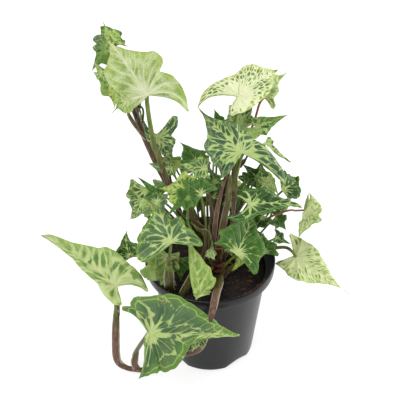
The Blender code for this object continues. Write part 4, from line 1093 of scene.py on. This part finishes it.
# How green a stem is at shares of its length
STEM_TINTS = {"stem_trailing": ((0.1, 0.5), (0.19, 0.4), (0.24, 0.0), (0.88, 0.05), (1.0, 0.9)),
              "stem_left": ((0.0, 0.2), (0.4, 0.5), (1.0, 0.9)), "stem_front": ((0.0, 0.6), (1.0, 0.8))}
USUAL_STEM_TINT = ((0.0, 0.0), (1.0, 0.45))
PINK_STALKS = ("leaf_crown_3", "leaf_crown_10", "leaf_right_3")

# %% Paths
STATION_STEP = 1.5


def smooth_path(points, step=STATION_STEP):
    """Points about one step apart on a Catmull-Rom curve through the given points."""
    points = np.array(points, float)
    ends = np.concatenate([[2 * points[0] - points[1]], points, [2 * points[-1] - points[-2]]])
    path = []
    for before, start, stop, after in zip(ends[:-3], ends[1:-2], ends[2:-1], ends[3:]):
        count = max(1, round(np.linalg.norm(stop - start) / step))
        t = np.arange(count)[:, None] / count
        path.append((2 * start + (stop - before) * t + (2 * before - 5 * start + 4 * stop - after) * t**2
                     + (3 * start - before - 3 * stop + after) * t**3) / 2)
    return np.concatenate(path + [points[-1:]])


def distance_along(path):
    return np.concatenate([[0.0], np.cumsum(np.linalg.norm(np.diff(path, axis=0), axis=1))])


def carried_directions(path, outward):
    """Unit directions across the path and out of it, at every station.

    The first across direction is level and leaves outward free. Each next one is the one before it,
    less its part along the path, so that the oval never spins.
    """
    along = np.gradient(path, axis=0)
    along /= np.linalg.norm(along, axis=1)[:, None]
    turned = np.cross(outward, along[0])
    across = np.empty_like(path)
    for station, direction in enumerate(along):
        turned = turned - direction * (turned @ direction)
        turned = turned / np.linalg.norm(turned)
        across[station] = turned
    return across, np.cross(along, across)


print("paths and the directions across them")

# %% An oval carried along a path
TUBE_SIDES = 14
HUSK_CUP = -0.45
HUSK_ROUND = 0.14
HUSK_TAPER = 0.5
HUSK_BLUNTNESS = (0.5, 0.8)
HUSK_RIPPLE = (0.05, 0.55)
HEM_POWER = 4


def husk_profile(distance, start, stop):
    """0 outside, 1 along the husk: it is round where it starts, and narrows to a point where it stops."""
    share = (distance - start) / (stop - start)
    opening = np.clip(share / HUSK_ROUND, 0.0, 1.0)
    closing = np.clip((1 - share) / HUSK_TAPER, 0.0, 1.0)
    return np.sin(np.pi / 2 * opening)**HUSK_BLUNTNESS[0] * np.sin(np.pi / 2 * closing)**HUSK_BLUNTNESS[1]


def oval_tube(path, outward, radius, husks, draw):
    """A closed tube: across * wide cos a + out * (thick sin a - cup cos^2 a) at each station.

    husks: start, stop and half width of each. Returns points, faces and three numbers per point: how far
    the husk is open, how near its edge a point lies, and its share of the tube's length.
    """
    distance = distance_along(path)
    across, out = carried_directions(path, outward)
    open_share = np.zeros(len(path))
    wide = radius.copy()
    for start, stop, half_width in husks:
        profile = husk_profile(distance, start, stop)
        ripple = 1.0 + HUSK_RIPPLE[0] * np.sin(distance * HUSK_RIPPLE[1] + draw.uniform(0.0, math.tau))
        wide = np.maximum(wide, radius + (half_width - radius) * profile * ripple)
        open_share = np.maximum(open_share, profile)
    angle = math.tau * np.arange(TUBE_SIDES) / TUBE_SIDES
    cup = HUSK_CUP * (wide - radius)
    x = wide[:, None] * np.cos(angle)
    y = radius[:, None] * np.sin(angle) - cup[:, None] * np.cos(angle)**2
    rings = path[:, None] + x[..., None] * across[:, None] + y[..., None] * out[:, None]
    points = np.concatenate([rings.reshape(-1, 3), path[:1], path[-1:]])
    hem = open_share[:, None] * np.abs(np.cos(angle))**HEM_POWER
    share = np.repeat(distance / distance[-1], TUBE_SIDES)
    numbers = [np.append(np.repeat(open_share, TUBE_SIDES), [0.0, 0.0]), np.append(hem.ravel(), [0.0, 0.0]),
               np.append(share, [0.0, 1.0])]
    return points, closed_rings(TUBE_SIDES, len(path)), numbers


print("tubes have", TUBE_SIDES, "sides")

# %% [markdown]
# ## The finish of stems and stalks
#
# A stalk goes from pinkish brown at its foot through olive to a fresh green under its blade. The husk is
# a dull brown with fine streaks along it, and its dry edge is nearly white. The old climbing stem is dark
# brown. Each point of a stem knows how green and how old it is, and streaks are noise stretched upwards.

# %% Stem finish
STALK_FOOT_COLOUR = (88, 60, 48)
# Colours over it, each from where the tint starts to take it to where it has: olive, green, bright green
# and, below zero, the orange-brown of the root
STALK_COLOURS = [((0.1, 0.55), (84, 80, 36)), ((0.45, 0.95), (94, 124, 36)), ((1.0, 1.2), (134, 166, 72)),
                 ((-0.1, -0.2), (168, 96, 36))]
PINK_COLOUR = (158, 102, 80)
OLD_COLOURS = ((48, 31, 23), (74, 50, 38))
HUSK_COLOURS = ((106, 77, 62), (82, 80, 42))
HEM_COLOUR = (206, 194, 166)
STREAK_COLOURS = ((40, 26, 16), (146, 120, 92))
# Noises over a stem: scale, detail and roughness. Streaks are stretched ten times along the stem.
STREAK_STRETCH = (1.0, 1.0, 0.1)
STREAK_NOISE = (700.0, 3.0, 0.6)
CLOUD_NOISE = (60.0, 2.0)
STREAK_BUMP = (0.0004, 0.5)


def stem_finish():
    """Brown to green by tint, then pink or old by age, then the husk, the streaks and the husk's hem."""
    finish = Finish("leaf_stalk", Roughness=0.42, Specular_IOR_Level=0.3)
    between, mix = finish.between, finish.mix
    place = finish.object_place()
    streak = finish.noise(finish.stretched(place, STREAK_STRETCH), *STREAK_NOISE) - 0.5
    cloud = finish.noise(place, *CLOUD_NOISE) - 0.5
    tint = finish.attribute("tint") + cloud * 0.5
    husk = finish.attribute("husk")
    hem = finish.attribute("hem")
    age = finish.attribute("age")
    pairs = (OLD_COLOURS, HUSK_COLOURS, STREAK_COLOURS)
    old, wrapped, streaks = ([paint(*tone) for tone in pair] for pair in pairs)
    colour = finish.layers(tint, paint(*STALK_FOOT_COLOUR), STALK_COLOURS)
    colour = mix(between(0.0 - age, 0.2, 0.8), colour, paint(*PINK_COLOUR))
    colour = mix(age, colour, mix(between(cloud, -0.2, 0.2), *old))
    colour = mix(husk * 0.75, colour, mix(between(tint, 0.1, 0.6), *wrapped))
    colour = mix(between(streak, 0.0, 0.16) * 0.6, colour, streaks[1])
    colour = mix(between(streak, -0.22, -0.02), mix(0.55, colour, streaks[0]), colour)
    colour = mix(between(hem, 0.35, 0.8) * 0.85, colour, paint(*HEM_COLOUR))
    finish.feed("Base Color", colour)
    finish.bump(streak, *STREAK_BUMP)
    return finish.material


STEM_FINISH = stem_finish()
print("stem finish made")

# %% [markdown]
# ## Growing the stems
#
# Every stalk runs from its stem to the underside of its blade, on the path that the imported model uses.
# All stalks of one stem join it as one piece. A few spurs are added to them: bare shoots in the bundle, one
# root that arches over the soil, and the bract of the vine.

# %% Make the stems
LAST_BEND = 9.0
STALK_STOP = 0.3
STALK_TIP = (0.55, 0.013)
STALK_FOOT = 1.45
FACING = np.array([0.0, -1.0, 0.3])
STALK_FACING = np.array([0.0, -14.0, 4.0])
STALK_HUSK = {"stem_crown": (0.5, 3.9), "stem_right": (0.4, 2.9), "stem_climber": (0.3, 2.4)}
USUAL_HUSK = (0.3, 2.5)
# How much the share and the width of a husk differ, and the most that its half width may be
HUSK_SHARES = (0.7, 1.25)
HUSK_WIDTHS = (0.75, 1.1)
HUSK_MOST = (2.0, 0.02)
# The green of a stalk: how much it differs, how soon it comes, and that of a pink stalk
STALK_GREENS = (0.85, 1.15)
GREEN_RISE = 0.8
PINK_GREEN = 0.25
STEM_SEED = 40
THICK_STALKS = {"leaf_climber_1": 1.35, "leaf_crown_1": 1.25, "leaf_crown_2": 1.3}
WIDE_HUSKS = {"leaf_crown_1": (0.9, 3.2), "leaf_crown_2": (0.8, 3.0), "leaf_crown_6": (0.7, 3.2),
              "leaf_left_7": (0.75, 3.4), "leaf_left_8": (0.7, 3.4), "leaf_left_5": (0.7, 3.0),
              "leaf_left_4": (0.3, 1.8), "leaf_crown_11": (0.7, 3.2), "leaf_right_5": (0.1, 1.6)}


def stalk_path(plan):
    """The stalk's path, which meets the blade at a steep angle."""
    _, _, up = leaf_axes(plan["aim"])
    come = plan["at"] - np.array(plan["route"][-1], float)
    come /= np.linalg.norm(come)
    last = (up if come @ up >= 0 else -up) + come
    last /= np.linalg.norm(last)
    return smooth_path(plan["route"] + [tuple(plan["at"] - last * LAST_BEND),
                                        tuple(plan["at"] - last * STALK_STOP)])


def stalk_part(plan, draw):
    """The tube of one stalk, with its numbers: husk, hem, tint and age."""
    path = stalk_path(plan)
    length = distance_along(path)[-1]
    tip = (STALK_TIP[0] + STALK_TIP[1] * plan["blade"][0]) * THICK_STALKS.get(plan["name"], 1.0)
    radius = np.linspace(tip * STALK_FOOT, tip, len(path))
    share, half_width = STALK_HUSK.get(plan["stem"], USUAL_HUSK)
    share, half_width = WIDE_HUSKS.get(plan["name"], (share * draw.uniform(*HUSK_SHARES),
                                                      half_width * draw.uniform(*HUSK_WIDTHS)))
    half_width = min(half_width, HUSK_MOST[0] + HUSK_MOST[1] * length)
    stop = length * share
    outward = np.array([*path[len(path) // 3][:2], 0.0]) + STALK_FACING
    points, faces, (husk, hem, along) = oval_tube(path, outward, radius, [(-stop, stop, half_width)], draw)
    pink = plan["name"] in PINK_STALKS
    green = PINK_GREEN if pink else draw.uniform(*STALK_GREENS)
    age = np.full(len(points), -1.0 if pink else 0.0)
    return points, faces, [husk, hem, along**GREEN_RISE * green, age]


def stem_part(name, draw):
    """The tube of a stem, with its numbers."""
    foot_radius, top_radius, points = STEMS[name]
    path = smooth_path([(*points[0][:2], ROOT_END)] + points)
    radius = np.linspace(foot_radius, top_radius, len(path))
    points, faces, (husk, hem, along) = oval_tube(path, FACING, radius, HUSKS.get(name, []), draw)
    tint = np.interp(along, *zip(*STEM_TINTS.get(name, USUAL_STEM_TINT)))
    return points, faces, [husk, hem, tint, np.full(len(points), OLD_STEMS.get(name, 0.0))]


# Spurs: points, radius, half width of the husk and tint. The first one is the root.
SPURS = {
    "stem_crown": [
        ([(-21, 6, 118), (-13, -4, 126), (-3, -12, 129), (8, -12, 128), (17, -5, 121), (20, 4, 108)],
         0.7, 0, -0.5),
        ([(1, -5, 98), (3.5, -12, 144), (6, -10, 171), (10, -8, 192), (14.5, -5, 206)], 1.6, 2.2, 0.0),
        ([(6, -4, 98), (9.5, -10, 139), (13, -9, 165), (16.5, -6, 185), (18, -2, 204)], 1.7, 3.1, 0.6),
        ([(10, -1, 98), (19, -6, 136), (20, -4, 161), (22, -2, 182), (23.5, 0, 200)], 1.3, 2.0, 0.0),
        ([(0, -3, 98), (1.5, -6, 154), (0.5, -5, 173), (-1, -4, 190)], 1.2, 2.1, 0.4),
        ([(-1, -6, 98), (-3, -13, 146), (-11, -14, 159), (-20, -14, 171)], 1.4, 2.8, 0.3),
        ([(-1, -8, 98), (-3, -17, 150), (-10, -19, 157), (-17, -20, 166)], 1.3, 3.5, 0.8),
        ([(0, -6, 98), (-2, -11, 139), (-12, -10, 158), (-23, -8, 176)], 1.4, 2.8, 0.4),
        ([(0, -12, 110), (0, -16, 140), (-1.5, -17, 160)], 1.0, 1.9, 1.0),
        ([(10, -1, 96), (12, -6, 104), (7, -12, 119), (3, -15, 131)], 1.3, 0, 0.1),
        ([(-6, -2, 98), (-12, -1, 118), (-19, 0, 138), (-27, 3, 150)], 1.5, 3.4, 0.3)],
    "stem_trailing": [([(-68, -44, 5), (-71, -45, 17), (-67, -45, 34)], 0.9, 3.4, 0.5)],
}
SPUR_TAPER = 0.45
SPUR_BARE_TIP = 0.6
SPUR_GREENS = (0.3, 0.7)


def spur_part(points, radius, half_width, tint, draw):
    """A short tube that tapers to its tip, and may be wrapped in a husk for its whole length."""
    path = smooth_path(points)
    length = distance_along(path)[-1]
    husks = [(0.0, length - SPUR_BARE_TIP, half_width)] if half_width else []
    radius = np.linspace(radius, SPUR_TAPER * radius, len(path))
    points, faces, (husk, hem, along) = oval_tube(path, FACING, radius, husks, draw)
    green = tint * (SPUR_GREENS[0] + SPUR_GREENS[1] * along) if tint > 0 else np.full(len(points), tint)
    return points, faces, [husk, hem, green, np.zeros(len(points))]


def join_parts(parts):
    """Put tubes into one set of arrays."""
    starts = np.cumsum([0] + [len(points) for points, _, _ in parts])
    faces = [start + part for start, (_, lists, _) in zip(starts, parts) for part in lists]
    numbers = [np.concatenate(values) for values in zip(*(numbers for _, _, numbers in parts))]
    return np.concatenate([points for points, _, _ in parts]), faces, numbers


def make_stem(name):
    draw = np.random.default_rng(len(name) + STEM_SEED)
    parts = [stem_part(name, draw)]
    parts += [stalk_part(plan, draw) for plan in LEAVES.values() if plan["stem"] == name]
    parts += [spur_part(*spur, draw) for spur in SPURS.get(name, [])]
    points, faces, numbers = join_parts(parts)
    item = make_piece(name + "_stalks", points, faces, [STEM_FINISH],
                      dict(zip(("husk", "hem", "tint", "age"), numbers)))
    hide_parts(name)
    return triangle_count(faces)


print("stems:", sum(make_stem(name) for name in STEMS), "triangles")

# %% [markdown]
# ## The nursery pot
#
# A nursery pot is blown or pressed from thin black plastic: a smooth tapered wall, a collar that stands
# out so that pots can be stacked, and low arches at the foot that let water out. It is a profile turned
# once round the axis. The arches are made by lifting the foot of the wall where they are, so the turned
# grid stays whole and no edge has to be cut.

# %% Make the pot
POT_SIDES = 192
FOOT_NOTCHES = 4
NOTCH_TURN = math.radians(-50.0)
NOTCH_WIDTH = math.radians(19.0)
NOTCH_HEIGHT = 4.6
NOTCH_INSIDE = 35.0
LIFT_FADE = 30.0
POT_CORNER = math.radians(38.0)
PLASTIC_ROUGHNESS = 0.3
# The pot's outer profile from the axis, over the rim, to the axis again: radius and height
POT_PROFILE = [
    (18, 0), (34.8, 0), (35.6, 0), (38.9, 0), (40.1, 0.35), (40.8, 1.1), (41.05, 2.2), (41.9, 9),
    (43.4, 22), (45.6, 40), (47.8, 58), (50, 76), (51.7, 90.5), (52.4, 96.3), (53, 96.7), (57, 96.7),
    (58.7, 96.8), (59.3, 97.2), (59.55, 98), (59.7, 101), (59.95, 105.6), (59.8, 106.4), (59.3, 106.9),
    (58.6, 107),
    (58.1, 106.8), (57.8, 106.2), (57.4, 101), (57.2, 99.6), (56.6, 99), (53, 98.3), (51.6, 97.6),
    (51, 96.6), (50.8, 95), (48, 72), (44, 40), (40.8, 14), (39.6, 5), (38.4, 3), (36.5, 2.4), (18, 2.4)]
PLASTIC_COLOUR = (19, 20, 23)
DUST_COLOUR = (84, 76, 70)
DUST_STEP = (0.66, 0.8)
DUST_SHARE = 0.25
MARK_STRETCH = (1.0, 1.0, 0.35)
MARK_NOISE = (90.0, 4.0, 0.65)
DUST_NOISE = (340.0, 3.0, 0.7)
MARK_GLOSS = 0.16
MARK_BUMP = (0.0003, 0.25)


def plastic_finish():
    """Black plastic with a soft gloss, faint marks from handling, and a little dust."""
    finish = Finish("black_plastic", Specular_IOR_Level=0.3)
    place = finish.object_place()
    marks = finish.noise(finish.stretched(place, MARK_STRETCH), *MARK_NOISE) - 0.5
    dust = finish.between(finish.noise(place, *DUST_NOISE), *DUST_STEP)
    finish.feed("Base Color", finish.mix(dust * DUST_SHARE, paint(*PLASTIC_COLOUR), paint(*DUST_COLOUR)))
    finish.feed("Roughness", marks * MARK_GLOSS + PLASTIC_ROUGHNESS)
    finish.bump(marks, *MARK_BUMP)
    return finish.material


def notch_lift(angle):
    """Height of the low arched notches over the ground, at angles round the pot."""
    step = math.tau / FOOT_NOTCHES
    off = np.mod(angle - NOTCH_TURN + step / 2, step) - step / 2
    return NOTCH_HEIGHT * np.cos(np.pi / 2 * np.minimum(np.abs(off) / NOTCH_WIDTH, 1.0))


def make_pot():
    """The profile at every angle; outside NOTCH_INSIDE the foot is lifted, less and less up the wall."""
    profile = np.array(POT_PROFILE, float)
    angle = math.tau * np.arange(POT_SIDES) / POT_SIDES
    radius, height = profile[:, :1], profile[:, 1:]
    share = np.clip(1 - height / LIFT_FADE, 0, 1) * (radius > NOTCH_INSIDE)
    z = height + share * notch_lift(angle)[None]
    rings = np.stack([radius * np.cos(angle), radius * np.sin(angle), z], axis=-1)
    points = np.concatenate([rings.reshape(-1, 3), [(0, 0, profile[0, 1]), (0, 0, profile[-1, 1])]])
    faces = closed_rings(POT_SIDES, len(profile))
    item = make_piece("pot_shell", points, faces, [plastic_finish()])
    item.data.set_sharp_from_angle(angle=POT_CORNER)
    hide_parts("pot")
    print("pot:", triangle_count(faces), "triangles")


make_pot()

# %% [markdown]
# ## Potting soil
#
# Seen from above the soil is nearly black, with reddish-brown fibres and bits of bark in it. The ground
# itself is a round grid that a sum of waves makes lumpy. The bits on it are one small flake, stretched and
# turned a few hundred times as one array. It could be a particle system, but that would not be exported.

# %% Soil finish
CRUMB_COLOURS = ((9, 8, 7), (35, 26, 22))
CLOD_COLOUR = (70, 44, 32)
# Painted shade: the colour that darkens the hollows of the grain, where its bump is low
HOLLOW_SHADE_COLOUR = (16, 12, 10)
# The colours of the bits as their tint grows: bark, dry wood, orange bark and the white grain
BIT_COLOURS = [((0.2, 0.7), (104, 58, 38)), ((0.8, 1.0), (166, 128, 92)), ((1.2, 1.4), (176, 92, 44)),
               ((1.8, 2.0), (226, 226, 220))]
GRAIN_NOISE = (420.0, 4.0, 0.7)
CLOD_NOISE = (130.0, 3.0, 0.6)
GRAIN_BUMP = (0.0012, 0.9)


def soil_finish():
    """Dark crumbs, with painted shade in the hollows of their grain, and a reddish tint where a bit is
    drier.
    """
    finish = Finish("potting_soil", Roughness=0.93)
    between, mix = finish.between, finish.mix
    place = finish.object_place()
    grain = finish.noise(place, *GRAIN_NOISE)
    clod = finish.noise(place, *CLOD_NOISE)
    tint = finish.attribute("tint")
    ground = mix(between(grain, 0.4, 0.62), *(paint(*tone) for tone in CRUMB_COLOURS))
    ground = mix(between(clod, 0.56, 0.68) * 0.5, ground, paint(*CLOD_COLOUR))
    bits = finish.layers(tint, ground, BIT_COLOURS)
    # Painted shade: where the grain is low, as its bump is, the colour is darkened
    finish.feed("Base Color", mix(between(grain, 0.35, 0.5), mix(0.5, bits, paint(*HOLLOW_SHADE_COLOUR)), bits))
    finish.bump(grain, *GRAIN_BUMP)
    return finish.material


SOIL_FINISH = soil_finish()
print("soil finish made")

# %% The ground
SOIL_TOP = 95.0
SOIL_EDGE = 50.3
SOIL_SIDES = 150
SOIL_RINGS = 46
SOIL_LOW = [(39.2, 4.6), (37.0, 2.8), (20.0, 2.8)]
SOIL_SAG = 1.2
SOIL_SHORE = 5.0
SHORE_LUMPS = 0.3
LUMP_WAVES = 26
LUMP_LENGTHS = (3.5, 16.0)
LUMP_SHARES = (0.35, 1.0)
LUMP_HEIGHT = 0.6
LUMP_DROP = 1.0
LUMP_SEED = 3


def lumps(x, y):
    """A sum of waves in random directions. Taken as a distance from zero, they make round clods."""
    draw = np.random.default_rng(LUMP_SEED)
    turn = draw.uniform(0.0, math.tau, LUMP_WAVES)
    wave = math.tau / np.geomspace(*LUMP_LENGTHS, LUMP_WAVES)
    phase = draw.uniform(0.0, math.tau, LUMP_WAVES)
    height = np.geomspace(*LUMP_SHARES, LUMP_WAVES)
    argument = (x[..., None] * np.cos(turn) + y[..., None] * np.sin(turn)) * wave + phase
    total = (np.abs(np.sin(argument)) * height).sum(axis=-1)
    return LUMP_HEIGHT * total / math.sqrt(LUMP_WAVES) - LUMP_DROP


def make_soil():
    """Rings from the middle out to the wall, then down along it and back to the axis."""
    angle = math.tau * np.arange(SOIL_SIDES) / SOIL_SIDES
    radius = np.linspace(0.0, 1.0, SOIL_RINGS + 1)[1:, None] * SOIL_EDGE
    x, y = radius * np.cos(angle), radius * np.sin(angle)
    inland = np.clip((SOIL_EDGE - radius) / SOIL_SHORE, 0.0, 1.0)
    z = SOIL_TOP - SOIL_SAG * (1 - inland) + lumps(x, y) * (SHORE_LUMPS + (1 - SHORE_LUMPS) * inland)
    top = np.stack([x, y, z], axis=-1)
    low = np.stack([np.stack([r * np.cos(angle), r * np.sin(angle), np.full(SOIL_SIDES, h)], axis=1)
                    for r, h in SOIL_LOW])
    rings = np.concatenate([top, low])[::-1]
    points = np.concatenate([rings.reshape(-1, 3), [(0, 0, SOIL_LOW[-1][1]), (0, 0, SOIL_TOP)]])
    faces = closed_rings(SOIL_SIDES, len(rings))
    item = make_piece("soil_ground", points, faces, [SOIL_FINISH], {"tint": np.zeros(len(points))})
    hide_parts("soil")
    print("soil:", triangle_count(faces), "triangles")


make_soil()

# %% Bits on the ground and on the rim
FLAKE = np.array([(1, 0, 0), (0.5, 0.8, 0.1), (-0.5, 0.9, -0.1), (-1, 0, 0), (-0.4, -0.8, 0.1),
                  (0.6, -0.7, 0), (0, 0, 0.8), (0, 0, -0.8)])
FLAKE_FACES = np.array([(k, (k + 1) % 6, 6) for k in range(6)] + [((k + 1) % 6, k, 7) for k in range(6)])
FLAKE_LENGTHS = (0.5, 1.0)
FLAKE_WIDTHS = (0.2, 0.7)
FLAKE_HEIGHTS = (0.15, 0.45)
FLAKE_CORNERS = (0.7, 1.2)
BIT_SEED = 11
GROUND_BITS = 620
GROUND_SIZE = (1.0, 3.6)
GROUND_TILT = 0.35
GROUND_TINT = (-0.5, 1.0)
BARE_MIDDLE = 0.03
SUNKEN = 0.7
SHORE_DROP, SHORE_DROP_WIDTH = 1.0, 4.0
RIM_BITS = 170
RIM_SIZE = (0.5, 2.2)
RIM_TILT = 0.3
RIM_TINT = (0.1, 0.6)
RIM_TOP = (57.0, 58.8)
RIM_HEIGHT = 106.9
# Some bits of the rim lie anywhere in front, and most in one heap: its middle and spread, in radians
RIM_FRONT = (-2.6, 0.9)
RIM_HEAP = 110
HEAP_PLACE = (-0.85, 0.3)
CHUNK_TILT = 0.5
CHUNK_GROWTH = 1.4


def turns(draw, count, tilt):
    """Random turn matrices: any heading, and up to tilt of lean, as products of two plain turns."""
    heading, lean = draw.uniform(0, math.tau, count), draw.normal(0, tilt, count)
    ch, sh, cl, sl = np.cos(heading), np.sin(heading), np.cos(lean), np.sin(lean)
    zero = np.zeros(count)
    return np.array([[ch, -sh * cl, sh * sl], [sh, ch * cl, -ch * sl], [zero, sl, cl]]).transpose(2, 0, 1)


def scatter(draw, places, least, most, tilt):
    """A flake at each place, each with its own length, width, thickness, turn and wobbling corners."""
    count = len(places)
    length = draw.uniform(least, most, count) * draw.uniform(*FLAKE_LENGTHS, count)
    size = np.stack([length, length * draw.uniform(*FLAKE_WIDTHS, count),
                     length * draw.uniform(*FLAKE_HEIGHTS, count)], axis=1)
    corners = FLAKE * draw.uniform(*FLAKE_CORNERS, (count, len(FLAKE), 1)) * size[:, None]
    points = corners @ turns(draw, count, tilt).transpose(0, 2, 1) + places[:, None]
    faces = FLAKE_FACES + len(FLAKE) * np.arange(count)[:, None, None]
    return points.reshape(-1, 3), faces.reshape(-1, 3)


# Larger pieces of bark, and one white grain: place, half length, tint
CHUNKS = [
    ((15, 8, 100), 6.0, 0.35), ((19, 14, 100), 5.5, 0.5), ((8, 4, 101), 5.0, 0.3),
    ((12, 16, 100), 6.0, 0.4),
    ((4, 0, 99), 4.0, 1.5), ((-1, 3, 99), 4.0, 1.4), ((13, -8, 97), 3.5, 1.5), ((20, 4, 98), 4.5, 0.45),
    ((-3, -14, 99), 4.5, 1.35), ((4, -17, 99), 4.5, 0.5), ((11, -15, 99), 5.0, 0.6),
    ((18, -10, 99), 4.5, 0.4), ((7, -16, 105), 4.0, 0.55), ((14, -12, 105), 4.5, 0.5),
    ((0, -16, 107), 4.6, 1.35), ((20, -6, 105), 4.0, 0.6), ((10, -14, 110), 3.5, 0.7),
    ((15, -12, 111), 4.4, 1.3), ((4, -15, 111), 3.0, 0.45), ((-40, -14, 96), 3.0, 0.7),
    ((36, -20, 96), 3.2, 0.75), ((30, -30, 95), 2.8, 0.6), ((49, -22, 100), 1.2, 2.0)]


def make_bits():
    """Flakes over the whole ground and on the rim, and the larger pieces in the middle."""
    draw = np.random.default_rng(BIT_SEED)
    radius = SOIL_EDGE * np.sqrt(draw.uniform(BARE_MIDDLE, 1.0, GROUND_BITS))
    angle = draw.uniform(0.0, math.tau, GROUND_BITS)
    x, y = radius * np.cos(angle), radius * np.sin(angle)
    height = SOIL_TOP + lumps(x, y) * SUNKEN - SHORE_DROP * (radius > SOIL_EDGE - SHORE_DROP_WIDTH)
    ground = np.stack([x, y, height], axis=1)
    bits, faces = scatter(draw, ground, *GROUND_SIZE, GROUND_TILT)
    turn = np.append(draw.uniform(*RIM_FRONT, RIM_BITS - RIM_HEAP), draw.normal(*HEAP_PLACE, RIM_HEAP))
    out = draw.uniform(*RIM_TOP, RIM_BITS)
    rim = np.stack([out * np.cos(turn), out * np.sin(turn), np.full(RIM_BITS, RIM_HEIGHT)], axis=1)
    crumbs, crumb_faces = scatter(draw, rim, *RIM_SIZE, RIM_TILT)
    chunks = np.array([place for place, _, _ in CHUNKS], float)
    size = CHUNK_GROWTH * np.array([half for _, half, _ in CHUNKS])
    barks, bark_faces = scatter(draw, chunks, 1.0, 1.0, CHUNK_TILT)
    barks = (barks.reshape(len(CHUNKS), -1, 3) - chunks[:, None]) * size[:, None, None] + chunks[:, None]
    tint = np.concatenate([draw.uniform(*GROUND_TINT, GROUND_BITS)**3, draw.uniform(*RIM_TINT, RIM_BITS),
                           [value for _, _, value in CHUNKS]])
    crumb_faces = np.concatenate([crumb_faces, len(crumbs) + bark_faces])
    crumbs = np.concatenate([crumbs, barks.reshape(-1, 3)])
    item = make_piece("soil_bits", np.concatenate([bits, crumbs]), [faces, len(bits) + crumb_faces],
                      [SOIL_FINISH], {"tint": np.repeat(tint, len(FLAKE))})
    item.data.shade_flat()
    print("bits:", len(tint))


make_bits()

# %% [markdown]
# ## The floor
#
# A plain pale table, large enough that no edge of it shows.

# %% The floor
FLOOR_SIZE = 4.0
FLOOR_GREY = 0.45
FLOOR_GLOW = 0.72


def make_floor():
    """One large square on z = 0."""
    corners = FLOOR_SIZE / 2 * np.array([(-1.0, -1.0, 0), (1.0, -1.0, 0), (1.0, 1.0, 0), (-1.0, 1.0, 0)])
    mesh = bpy.data.meshes.new("floor")
    mesh.from_pydata(corners.tolist(), [], [(0, 1, 2, 3)])
    finish = Finish("pale_table", Base_Color=(FLOOR_GREY, FLOOR_GREY, FLOOR_GREY, 1.0), Roughness=0.8,
                    Emission_Color=(1.0, 1.0, 1.0, 1.0), Emission_Strength=FLOOR_GLOW)
    mesh.materials.append(finish.material)
    floor = bpy.data.objects.new("floor", mesh)
    bpy.context.scene.collection.objects.link(floor)


make_floor()
